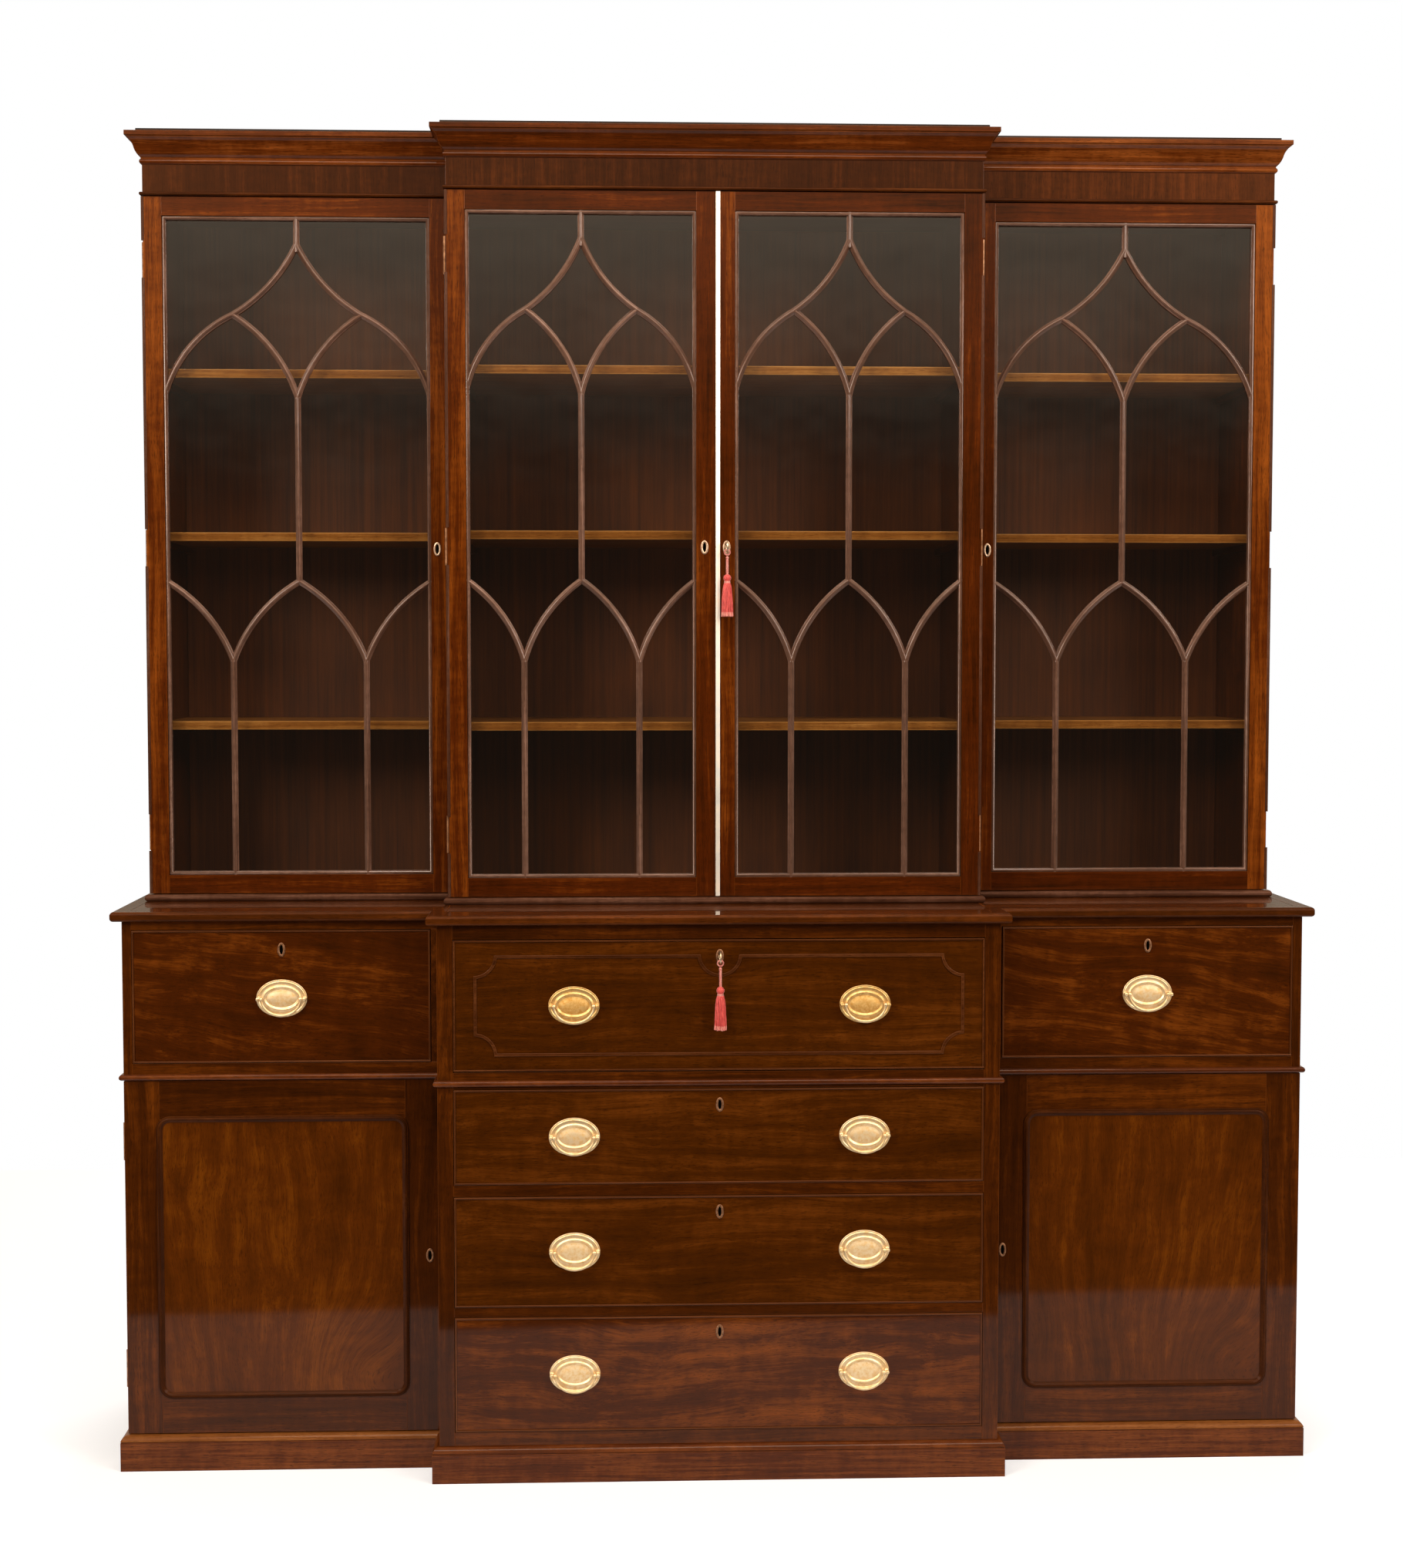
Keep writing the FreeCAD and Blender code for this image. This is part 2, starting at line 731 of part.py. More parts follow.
def hinge(side, edge, front, level):
    """A butt hinge on a door's outer edge: the case's half, then the door's half."""
    pivot_x = out(side, edge + s.knuckle_offset)
    pivot_y = front + s.door_thickness + s.door_seat / 2
    low, high = level - s.hinge_length / 2, level + s.hinge_length / 2
    third = s.hinge_length / 3
    leaf = across(side, edge - s.hinge_leaf, edge)
    tab = across(side, edge - s.leaf_thickness, edge + s.knuckle_offset)
    at_door = (front + s.door_thickness, front + s.door_thickness + s.leaf_thickness)
    at_case = (front + seat - s.leaf_thickness, front + seat)
    gap = s.knuckle_gap
    bore = rod("pin_bore", (pivot_x, pivot_y, low), UPRIGHT, s.hinge_length,
               s.hinge_pin + s.pin_clearance)
    case_pieces = [box("case_leaf", leaf, at_case, (low, high))]
    for bottom in (low, high - third + gap):
        up = (bottom, bottom + third - gap)
        case_pieces.append(box("case_tab", tab, at_case, up))
        case_pieces.append(rod("case_knuckle", (pivot_x, pivot_y, bottom), UPRIGHT,
                               third - gap, s.knuckle_radius))
    middle = (low + third, high - third)
    door_half = fused("door_hinge", [
        box("door_leaf", leaf, at_door, (low, high)),
        box("door_tab", tab, at_door, middle),
        rod("door_knuckle", (pivot_x, pivot_y, low + third), UPRIGHT, third, s.knuckle_radius),
        rod("hinge_pin", (pivot_x, pivot_y, low), UPRIGHT, s.hinge_length, s.hinge_pin),
    ])
    return cut("case_hinge", fused("case_half", case_pieces), [bore]), door_half


def escutcheon(x, front, level):
    """A thin oval rim round a keyhole."""
    rim = oval("keyhole_rim", (x, front, level), s.escutcheon_width, s.escutcheon_height,
               s.escutcheon_thickness, FACING_FRONT)
    behind = front + s.escutcheon_thickness
    hole = oval("keyhole_mouth", (x, behind, level), s.escutcheon_width - 2 * s.escutcheon_rim,
                s.escutcheon_height - 2 * s.escutcheon_rim, 3 * s.escutcheon_thickness,
                FACING_FRONT)
    return cut("escutcheon", rim, [hole])


def keyhole(name, board, x, front, level, keyed=False):
    """The board with its keyhole, and with a bore for the key's shank where it has a key."""
    wide = s.escutcheon_width - 2 * s.escutcheon_rim
    tall = s.escutcheon_height - 2 * s.escutcheon_rim
    tools = [oval("keyhole_well", (x, front + s.keyhole_depth, level), wide, tall,
                  2 * s.keyhole_depth, FACING_FRONT)]
    if keyed:
        tools.append(rod("lock_bore", (x, front, level), ALONG_Y,
                         s.key_depth + s.key_collar_length, s.key_shank + s.key_clearance))
    return cut(name, board, tools)


def bar_face(start, end, bow_share, width):
    """The flat outline of one glazing bar from start to end: straight, or bowed to its left."""
    chord = end - start
    aside = Vector(-chord.y, chord.x, 0).normalize()
    if not bow_share:
        half = aside * (width / 2)
        return Part.Face(Part.makePolygon([start + half, end + half, end - half, start - half,
                                           start + half]))
    bow = chord.Length * bow_share
    radius = (chord.Length ** 2 / 4 + bow ** 2) / (2 * bow)
    middle = (start + end) * 0.5
    centre = middle - aside * (radius - bow)
    top = middle + aside * bow
    rings = []
    for shift in (width / 2, -width / 2):
        share = 1 + shift / abs(radius)
        rings.append([centre + (point - centre) * share for point in (start, top, end)])
    (a, b, c), (d, e, f) = rings
    edges = [Part.Arc(a, b, c), Part.LineSegment(c, f), Part.Arc(f, e, d), Part.LineSegment(d, a)]
    return Part.Face(Part.Wire([edge.toShape() for edge in edges]))


def glazing_shape(wide, tall):
    """Glazing bars and their border, flat in X and Y and standing up along Z.

    An ogee springs from the top of the middle over two pointed arches; lower down the middle bar
    forks into arches that end on two upright bars."""
    def at(across_share, up_share):
        return Vector(wide * across_share, tall * up_share, 0)

    bar, lip = s.bar_width.value, s.lip_width.value
    faces = [
        bar_face(at(0.5, CROWN_SHARE), at(0.5, 1), 0, bar),
        bar_face(at(0.5, LOWER_ARCH_SHARE), at(0.5, UPPER_SPRING_SHARE), 0, bar),
    ]
    for hand, turn in ((0, 1), (1, -1)):
        def mirror(across_share):
            return abs(hand - across_share)

        stile, middle = mirror(0), mirror(0.5)
        quarter, apex = mirror(QUARTER_BAR_SHARE), mirror(APEX_ACROSS_SHARE)
        for start, end, bow in (
            (at(quarter, 0), at(quarter, LOWER_FORK_SHARE), 0),
            (at(quarter, LOWER_FORK_SHARE), at(middle, LOWER_ARCH_SHARE), LOWER_BOW_SHARE),
            (at(quarter, LOWER_FORK_SHARE), at(stile, LOWER_ARCH_SHARE), -LOWER_BOW_SHARE),
            (at(stile, UPPER_SPRING_SHARE), at(apex, APEX_SHARE), ARCH_BOW_SHARE),
            (at(middle, UPPER_SPRING_SHARE), at(apex, APEX_SHARE), -INNER_BOW_SHARE),
            (at(apex, APEX_SHARE), at(middle, CROWN_SHARE), OGEE_BOW_SHARE),
        ):
            faces.append(bar_face(start, end, turn * bow, bar))
    thick = s.bar_depth.value
    outside = Part.makeBox(wide, tall, thick)
    inside = Part.makeBox(wide - 2 * lip, tall - 2 * lip, thick, Vector(lip, lip, 0))
    bars = [face.extrude(Vector(0, 0, thick)).common(outside) for face in faces]
    joined = outside.cut(inside).multiFuse(bars).removeSplitter()
    if len(joined.Solids) != 1:
        raise RuntimeError("the glazing bars did not join into one piece")
    return joined.Solids[0]


def door_frame(side, near, far, front, low, high, stile, rail):
    """Two stiles and two rails, and the opening between them."""
    along = (front, front + s.door_thickness)
    opening = across(side, near + stile, far - stile)
    pieces = [
        box("inner_stile", across(side, near, near + stile), along, (low, high)),
        box("outer_stile", across(side, far - stile, far), along, (low, high)),
        box("lower_rail", opening, along, (low, low + rail)),
        box("upper_rail", opening, along, (high - rail, high)),
    ]
    return pieces, opening, (low + rail, high - rail)


case_hinges = []


def hang_door(side, edge, front, levels):
    """Hinges at the given levels; the door's halves are returned."""
    halves = []
    for level in levels:
        case_half, door_half = hinge(side, edge, front, level)
        case_hinges.append(case_half)
        halves.append(door_half)
    return halves


def glazed_door(label, side, near, far, front, key_inset, has_key=False):
    """A door frame with its glazing bars, glass and brassware, hinged on its outer edge."""
    low, high = glazed_door_low, glazed_door_high
    frame, opening, up = door_frame(side, near, far, front, low, high, s.door_stile,
                                    s.door_stile)
    key_x = out(side, near + key_inset)
    frame[0] = keyhole("lock_stile", frame[0], key_x, front, keyhole_level, has_key)
    node(f"{label}_frame", frame)

    bars = doc.addObject("Part::Feature", f"{label}_bars_shape")
    bars.Shape = glazing_shape((opening[1] - opening[0]).value, (up[1] - up[0]).value)
    back_of_bars = front + s.bar_recess + s.bar_depth
    place(bars, (opening[0], back_of_bars, up[0]), FACING_FRONT)
    node(f"{label}_glazing_bars", [bars])

    gap = s.glass_clearance
    node(f"{label}_glass", [box("pane", (opening[0] + gap, opening[1] - gap),
                                (back_of_bars, back_of_bars + s.glass_thickness),
                                (up[0] + gap, up[1] - gap))])

    levels = (low + s.hinge_inset, (low + high) / 2, high - s.hinge_inset)
    brass = hang_door(side, far, front, levels)
    brass.append(escutcheon(key_x, front, keyhole_level))
    if has_key:
        strip = (near - s.meeting_gap, near - s.meeting_gap + s.strip_width)
        brass.append(box("meeting_strip", strip, (front - s.strip_height, front), (low, high)))
    node(f"{label}_brassware", brass)


def rounded_outline(half_wide, half_tall, radius):
    """A rectangle about the origin with rounded corners."""
    a, b, r = half_wide, half_tall, radius
    return [
        (a - r, -b), (a, -b + r, r, 1), (a, b - r), (a - r, b, r, 1),
        (-a + r, b), (-a, b - r, r, 1), (-a, -b + r), (-a + r, -b, r, 1),
    ]


def cupboard_door(label, side):
    """A panelled door with an applied moulding round the panel, hinged on its outer edge."""
    near, far, front = lower_centre + s.door_side_gap, lower_half, wing_front
    low, high = cupboard_door_low, cupboard_door_high
    pieces, opening, up = door_frame(side, near, far, front, low, high, s.cupboard_stile,
                                     s.cupboard_rail)
    panel = (front, front + s.door_thickness - s.panel_back_gap)
    pieces.append(box("panel", opening, panel, up))
    wide, half_rim = s.panel_moulding, s.panel_moulding / 2
    half_x, half_z = (opening[1] - opening[0]) / 2 + half_rim, (up[1] - up[0]) / 2 + half_rim
    centre = ((opening[0] + opening[1]) / 2, front, (up[0] + up[1]) / 2)
    rims = []
    for inset, thick in ((ZERO, s.panel_moulding_height), (wide, 2 * s.panel_moulding_height)):
        outline = rounded_outline(half_x - inset, half_z - inset, s.panel_corner - inset)
        start = centre if inset is ZERO else (centre[0], front + s.panel_moulding_height / 2, centre[2])
        rims.append(extruded("panel_rim", sketch(f"{label}_rim", outline), thick, start,
                             FACING_FRONT))
    pieces.append(cut("panel_moulding_ring", rims[0], rims[1:]))
    key_x, key_level = out(side, near + s.keyhole_inset), (low + high) / 2
    pieces[0] = keyhole("lock_stile", pieces[0], key_x, front, key_level)
    node(f"{label}_door", pieces)

    brass = hang_door(side, far, front, (low + s.hinge_inset, high - s.hinge_inset))
    brass.append(escutcheon(key_x, front, key_level))
    node(f"{label}_door_brassware", brass)


def handle(label, x, front, level):
    """An oval backplate with two posts, and its drop bail as a node of its own."""
    posts = []
    bail_y = front - s.post_reach
    half = s.plate_width / 2 - s.post_inset
    bail_half = half - s.bail_inset
    plate = oval("backplate", (x, front, level), s.plate_width, s.plate_height,
                 s.plate_thickness, FACING_FRONT)
    face = front - s.plate_thickness
    ring_wide, ring_tall = s.plate_width - 2 * s.ring_margin, s.plate_height - 2 * s.ring_margin
    ring = oval("raised_ring", (x, face, level), ring_wide, ring_tall, s.ring_rise, FACING_FRONT)
    dish = oval("dish", (x, face, level), ring_wide - 2 * s.ring_band,
                ring_tall - 2 * s.ring_band, 2 * s.ring_rise, FACING_FRONT)
    reach = s.post_reach + s.post_end
    inner_pin = s.bail_inset + s.eye_length / 2 + s.eye_gap
    for side in (LEFT, RIGHT):
        post_x = x + out(side, half)
        pin_low = x + (half - inner_pin if side == RIGHT else -half)
        posts.append(rod("post", (post_x, front - reach, level), ALONG_Y, reach, s.post_radius))
        posts.append(rod("bail_pin", (pin_low, bail_y, level), ALONG_X, inner_pin, s.bail_pin))
    plate_piece = fused("handle_plate", [plate, cut("ring", ring, [dish])] + posts)

    path = doc.addObject("Part::Ellipse", "bail_path")
    upright = s.bail_drop.value > bail_half.value
    bind(path, "MajorRadius", s.bail_drop if upright else bail_half)
    bind(path, "MinorRadius", bail_half if upright else s.bail_drop)
    path.Angle1, path.Angle2 = (90, 270) if upright else (180, 360)
    if upright:
        path.Placement = Placement(Vector(), Rotation(Vector(0, 0, 1), 90))
    wire = doc.addObject("Part::Circle", "bail_wire")
    bind(wire, "Radius", s.bail_radius)
    place(wire, (-bail_half, ZERO, ZERO), Rotation(Vector(1, 0, 0), 90))
    sweep = doc.addObject("Part::Sweep", "bail_bow")
    sweep.Sections = [wire]
    sweep.Spine = (path, ["Edge1"])
    sweep.Solid = True
    place(sweep, (x, bail_y, level), FACING_FRONT)
    eyes, bores = [], []
    for side in (LEFT, RIGHT):
        eye_x = x + out(side, bail_half) - s.eye_length / 2
        start = (eye_x, bail_y, level)
        eyes.append(rod("bail_eye", start, ALONG_X, s.eye_length, s.eye_radius))
        start = (eye_x - s.eye_length, bail_y, level)
        bores.append(rod("bail_bore", start, ALONG_X, 3 * s.eye_length,
                         s.bail_pin + s.bail_clearance))
    node(label, [cut("bail", fused("bail_body", [sweep] + eyes), bores)])
    return plate_piece


def front_beads(wide, front, up):
    """Cock beads round the edge of a drawer front."""
    bead, reach = s.bead_width, (front - s.bead_reach, front)
    (low_x, high_x), (low, high) = wide, up
    return [
        box("low_bead", wide, reach, (low, low + bead)),
        box("high_bead", wide, reach, (high - bead, high)),
        box("left_bead", (low_x, low_x + bead), reach, (low + bead, high - bead)),
        box("right_bead", (high_x - bead, high_x), reach, (low + bead, high - bead)),
    ]


def drawer(label, wide, front, up, handle_places, handle_level, key_level):
    """A drawer with its front, beads, sides, back and bottom, its brassware and its bails."""
    gap = s.front_gap
    face = (wide[0] + gap, wide[1] - gap)
    rise = (up[0] + gap, up[1] - gap)
    inside = front + s.front_thickness
    back = back_inside - s.back_clearance
    clear = s.drawer_clearance
    low = up[0] + s.runner_clearance
    height = (low, up[1] - s.drawer_drop)
    outer = (wide[0] + clear, wide[1] - clear)
    inner = (outer[0] + s.drawer_side, outer[1] - s.drawer_side)
    floor = low + s.bottom_groove
    middle = (wide[0] + wide[1]) / 2
    pieces = [
        keyhole("drawer_front", box("front_board", face, (front, inside), rise), middle, front,
                key_level),
        box("left_side", (outer[0], inner[0]), (inside, back), height),
        box("right_side", (inner[1], outer[1]), (inside, back), height),
        box("drawer_back", inner, (back - s.drawer_side, back), height),
        box("drawer_bottom", inner, (inside, back - s.drawer_side),
            (floor, floor + s.drawer_bottom)),
    ] + front_beads(face, front, rise)
    node(label, pieces)
    brass = [escutcheon(middle, front, key_level)]
    for name, x in handle_places:
        brass.append(handle(f"{label}_{name}", x, front, handle_level))
    node(f"{label}_brassware", brass)


fall_low = writing_floor + s.fall_bottom_gap
fall_high = writing_top - s.fall_top_gap
opening_half = lower_centre - s.partition
fall_half = opening_half - s.front_gap
pivot_y = centre_front + s.pivot_inset
pivot_z = fall_low + s.pivot_rise
bed_level = pivot_z + s.fall_thickness - s.pivot_inset
fall_inside = centre_front + s.fall_thickness
side_outer = opening_half - s.drawer_clearance
channel_outer = side_outer - s.drawer_side
channel_inner = channel_outer - s.stay_channel
bed_half = channel_inner - s.stay_lining
lock_level = fall_high - s.escutcheon_drop


def writing_drawer():
    """The secretaire drawer: slotted double sides for the stays, a writing bed whose front edge is
    coved for the fall's lower corner, pigeonholes, and the plates that carry the fall's pivots."""
    back = back_inside - s.back_clearance
    start = fall_inside + s.joint_clearance
    height = (writing_floor + s.runner_clearance, writing_top - s.drawer_drop)
    corner_y, corner_z = s.fall_thickness - s.pivot_inset, s.pivot_rise
    sweep = root(corner_y * corner_y + corner_z * corner_z) + s.joint_clearance
    cove_start = (-opening_half, pivot_y, pivot_z)

    def coved(board):
        cove = rod("cove", cove_start, ALONG_X, 2 * opening_half, sweep)
        return cut(board.Name + "_coved", board, [cove])

    bed = (bed_level - s.writing_bed, bed_level)
    pieces = [coved(box("writing_bed", (-bed_half, bed_half), (start, back - s.drawer_side), bed))]
    plate_end = s.pivot_boss + s.fall_thickness + s.pivot_rise
    for side in (LEFT, RIGHT):
        outer = across(side, channel_outer, side_outer)
        lining = across(side, bed_half, channel_inner)
        pieces.append(coved(box("drawer_side", outer, (start, back), height)))
        pieces.append(coved(box("side_lining", lining, (start, back), height)))
        plate = across(side, channel_outer - s.pivot_plate, channel_outer)
        boss = rod("pivot_boss", (plate[0], pivot_y, pivot_z), ALONG_X, s.pivot_plate, s.pivot_boss)
        arm = box("pivot_arm", plate, (pivot_y, pivot_y + plate_end),
                  (pivot_z - s.pivot_boss, pivot_z + s.pivot_boss))
        bore = rod("pivot_bore", (plate[0] - s.pivot_plate, pivot_y, pivot_z), ALONG_X,
                   3 * s.pivot_plate, s.pivot_pin + s.pivot_clearance)
        pieces.append(cut("pivot_plate", fused("pivot_blank", [boss, arm]), [bore]))
    pieces.append(box("drawer_back", (-bed_half, bed_half), (back - s.drawer_side, back), height))

    holes = (fall_inside + s.writing_reach, back - s.drawer_side)
    board = s.pigeonhole_board
    roof = height[1] - s.pigeonhole_drop - board
    pitch = (2 * bed_half - board) / PIGEONHOLES
    for index in range(PIGEONHOLES + 1):
        x = pitch * index - bed_half
        pieces.append(box("pigeonhole_upright", (x, x + board), holes, (bed_level, roof)))
    pieces.append(box("pigeonhole_roof", (-bed_half, bed_half), holes, (roof, roof + board)))
    node("writing_drawer", pieces)


def fall_moulding():
    """A thin applied moulding with re-entrant corners and a dip round the keyhole."""
    centre_z = (fall_low + fall_high) / 2
    a = fall_half - s.fall_border_side
    b = (fall_high - fall_low) / 2 - s.fall_border_end
    r, dip, thin = s.fall_corner, s.fall_dip, s.fall_moulding
    rims = []
    for w in (ZERO, thin):
        k = root((r + w) * (r + w) - w * w)
        d = root((dip + w) * (dip + w) - w * w)
        x, z, round_corner = a - w, b - w, r + w
        rims.append(sketch("fall_rim", [
            (x, b - k), (a - k, z, round_corner, -1), (d, z),
            (ZERO, b - dip - w, dip + w, -1), (-d, z, dip + w, -1),
            (-a + k, z), (-x, b - k, round_corner, -1), (-x, -b + k),
            (-a + k, -z, round_corner, -1), (a - k, -z), (x, -b + k, round_corner, -1),
        ]))
    height = s.fall_moulding_height
    outer = extruded("fall_rim_outer", rims[0], height, (ZERO, centre_front, centre_z), FACING_FRONT)
    inner = extruded("fall_rim_inner", rims[1], 2 * height,
                     (ZERO, centre_front + height / 2, centre_z), FACING_FRONT)
    return cut("fall_moulding_ring", outer, [inner])


def fall_front():
    """The fall, with slots for the pivot plates, a bore for its key, its beads and moulding."""
    board = box("fall_board", (-fall_half, fall_half), (centre_front, fall_inside),
                (fall_low, fall_high))
    tools = []
    clear = s.joint_clearance
    pin_length = s.pivot_plate * 4
    pins = []
    for side in (LEFT, RIGHT):
        near, far = channel_outer - s.pivot_plate - clear, channel_outer + clear
        tools.append(box("pivot_slot", across(side, near, far),
                         (pivot_y - s.pivot_boss - clear, fall_inside + clear),
                         (fall_low - clear, pivot_z + s.pivot_boss + clear)))
        low = across(side, near - s.pivot_plate, near - s.pivot_plate + pin_length)[0]
        pins.append(rod("pivot_pin", (low, pivot_y, pivot_z), ALONG_X, pin_length, s.pivot_pin))
        tools.append(rod("pin_hole", (low, pivot_y, pivot_z), ALONG_X, pin_length,
                         s.pivot_pin + s.pivot_clearance))
    drilled = keyhole("fall_drilled", cut("fall_cut", board, tools), ZERO, centre_front, lock_level,
                      keyed=True)
    pieces = [drilled, fall_moulding()]
    pieces += front_beads((-fall_half, fall_half), centre_front, (fall_low, fall_high))
    node("fall_front", pieces)

    brass = pins + [escutcheon(ZERO, centre_front, lock_level)]
    level = (fall_low + fall_high) / 2
    for name, side in (("left", LEFT), ("right", RIGHT)):
        brass.append(handle(f"fall_{name}_bail", out(side, s.long_handle_place),
                            centre_front, level))
    brass += quadrant_stays()
    node("fall_brassware", brass)


def quadrant_stays():
    """Two arcs about the pivot line, fixed to the fall's inner face."""
    middle = fall_high - pivot_z - s.stay_drop
    inner, outer = middle - s.stay_width / 2, middle + s.stay_width / 2
    face, tail = s.fall_thickness - s.pivot_inset, s.stay_tail

    def aside(radius, offset):
        return root(radius * radius - offset * offset)

    outline = sketch("stay_outline", [
        (face, aside(outer, face)), (aside(outer, tail), -tail, outer, -1),
        (aside(inner, tail), -tail), (face, aside(inner, face), inner, 1),
    ])
    stays = []
    slack = (s.stay_channel - s.stay_thickness) / 2
    for side in (LEFT, RIGHT):
        low = across(side, channel_inner + slack, channel_outer - slack)[0]
        stays.append(extruded("quadrant_stay", outline, s.stay_thickness,
                              (low, pivot_y, pivot_z), FACING_SIDE))
    return stays


def key(label, x, front, level):
    """A key in its lock, with an upright bow."""
    outside = front - s.escutcheon_thickness - s.key_standoff
    bow_y = outside - s.bow_length / 2
    shank = rod("shank", (x, outside - s.bow_rim / 2, level), ALONG_Y,
                front + s.key_depth - outside + s.bow_rim / 2, s.key_shank)
    collar = rod("collar", (x, outside, level), ALONG_Y, s.key_collar_length, s.key_collar)
    side_x = x - s.bow_thickness / 2
    bow = oval("bow", (side_x, bow_y, level), s.bow_length, s.bow_height, s.bow_thickness,
               FACING_SIDE)
    hole = oval("bow_hole", (side_x - s.bow_thickness, bow_y, level),
                s.bow_length - 2 * s.bow_rim, s.bow_height - 2 * s.bow_rim,
                3 * s.bow_thickness, FACING_SIDE)
    node(label, [fused("key_body", [cut("bow_ring", bow, [hole]), shank, collar])])
    return bow_y


def tassel_on(label, x, y, level, cord_length, loop_label=None):
    """The cord's loop through the bow, its knot, the cord and the tassel below it."""
    hole = s.loop_radius - s.loop_wire
    loop_z = level - s.bow_height / 2 + s.bow_rim + s.loop_gap - hole
    loop = doc.addObject("Part::Torus", "cord_loop")
    bind(loop, "Radius1", s.loop_radius)
    bind(loop, "Radius2", s.loop_wire)
    place(loop, (x, y, loop_z), Rotation(Vector(1, 0, 0), 90))
    knot_z = loop_z - s.loop_radius - s.loop_wire - s.loop_gap - s.knot_radius
    knot = ball("knot", (x, y, knot_z), s.knot_radius)
    cord_top = knot_z - s.knot_radius + s.knot_overlap
    cord_low = cord_top - cord_length
    cord = rod("cord", (x, y, cord_low), UPRIGHT, cord_length, s.cord_radius)
    knob_z = cord_low + s.tassel_overlap - s.tassel_knob
    skirt = doc.addObject("Part::Cone", "skirt")
    bind(skirt, "Radius1", s.tassel_skirt)
    bind(skirt, "Radius2", s.tassel_neck)
    bind(skirt, "Height", s.tassel_length)
    place(skirt, (x, y, knob_z - s.tassel_length))
    tassel = fused("tassel_body", [ball("knob", (x, y, knob_z), s.tassel_knob), skirt])
    if loop_label:
        node(loop_label, [loop])
        node(f"{label}_tassel", [knot, tassel])
    else:
        node(f"{label}_tassel", [loop, knot, tassel])
    node(f"{label}_tassel_cord", [cord])


def build():
    base_carcase()
    plinth()
    bead_mouldings()
    counter_top()
    upper_carcase()
    back_boards()
    frieze()
    cornice()
    bookshelves()

    wing = (upper_centre + s.door_side_gap, upper_half, upper_wing_front, s.wing_keyhole_inset)
    centre = (s.meeting_gap, upper_centre, upper_centre_front, s.keyhole_inset)
    glazed_door("left_wing_door", LEFT, *wing)
    glazed_door("left_centre_door", LEFT, *centre)
    glazed_door("right_centre_door", RIGHT, *centre, has_key=True)
    glazed_door("right_wing_door", RIGHT, *wing)
    cupboard_door("left_cupboard", LEFT)
    cupboard_door("right_cupboard", RIGHT)
    node("case_hinge_leaves", case_hinges)

    pair = [("left_bail", -s.long_handle_place), ("right_bail", s.long_handle_place)]
    wide = (-opening_half, opening_half)
    for name, low, high in (("top_drawer", top_drawer_floor, top_drawer_top),
                            ("middle_drawer", middle_drawer_floor, middle_drawer_top),
                            ("bottom_drawer", low_drawer_floor, low_drawer_top)):
        drawer(name, wide, centre_front, (low, high), pair, (low + high) / 2,
               high - s.escutcheon_drop)
    for name, side in (("left", LEFT), ("right", RIGHT)):
        wide = across(side, lower_centre + s.side_board, lower_half - s.side_board)
        middle = (wide[0] + wide[1]) / 2
        drawer(f"{name}_deep_drawer", wide, wing_front, (wing_drawer_floor, wing_drawer_top),
               [("bail", middle)],
               (wing_drawer_floor + wing_drawer_top) / 2 - s.deep_handle_drop,
               wing_drawer_top - s.deep_escutcheon_drop)
    writing_drawer()
    fall_front()

    door_key_x = s.meeting_gap + s.keyhole_inset
    bow_y = key("door_key", door_key_x, upper_centre_front, keyhole_level)
    tassel_on("door_key", door_key_x, bow_y, keyhole_level, s.upper_cord_length)
    bow_y = key("writing_key", ZERO, centre_front, lock_level)
    tassel_on("writing_key", ZERO, bow_y, lock_level, s.lower_cord_length, "writing_key_loop")


def check():
    """Stop if any object failed or any sub-part is empty or not valid."""
    for item in doc.Objects:
        faults = [state for state in item.State if state in ("Invalid", "Error")]
        if faults:
            raise RuntimeError(f"{item.Label} failed to recompute")
    for item in nodes:
        if item.Shape.isNull() or not item.Shape.Solids or not item.Shape.isValid():
            raise RuntimeError(f"{item.Label} has no valid solid")


def export():
    os.makedirs("parts", exist_ok=True)
    for item in nodes:
        item.Shape.exportStep(os.path.join("parts", item.Label + ".step"))


build()
doc.recompute()
check()
export()
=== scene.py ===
"""Looks of a breakfront secretaire bookcase in polished mahogany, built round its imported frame."""
import json
import logging
import math
import random
import zlib
from dataclasses import dataclass, field
from enum import Enum
from functools import partial
from typing import Callable, Iterable, Sequence

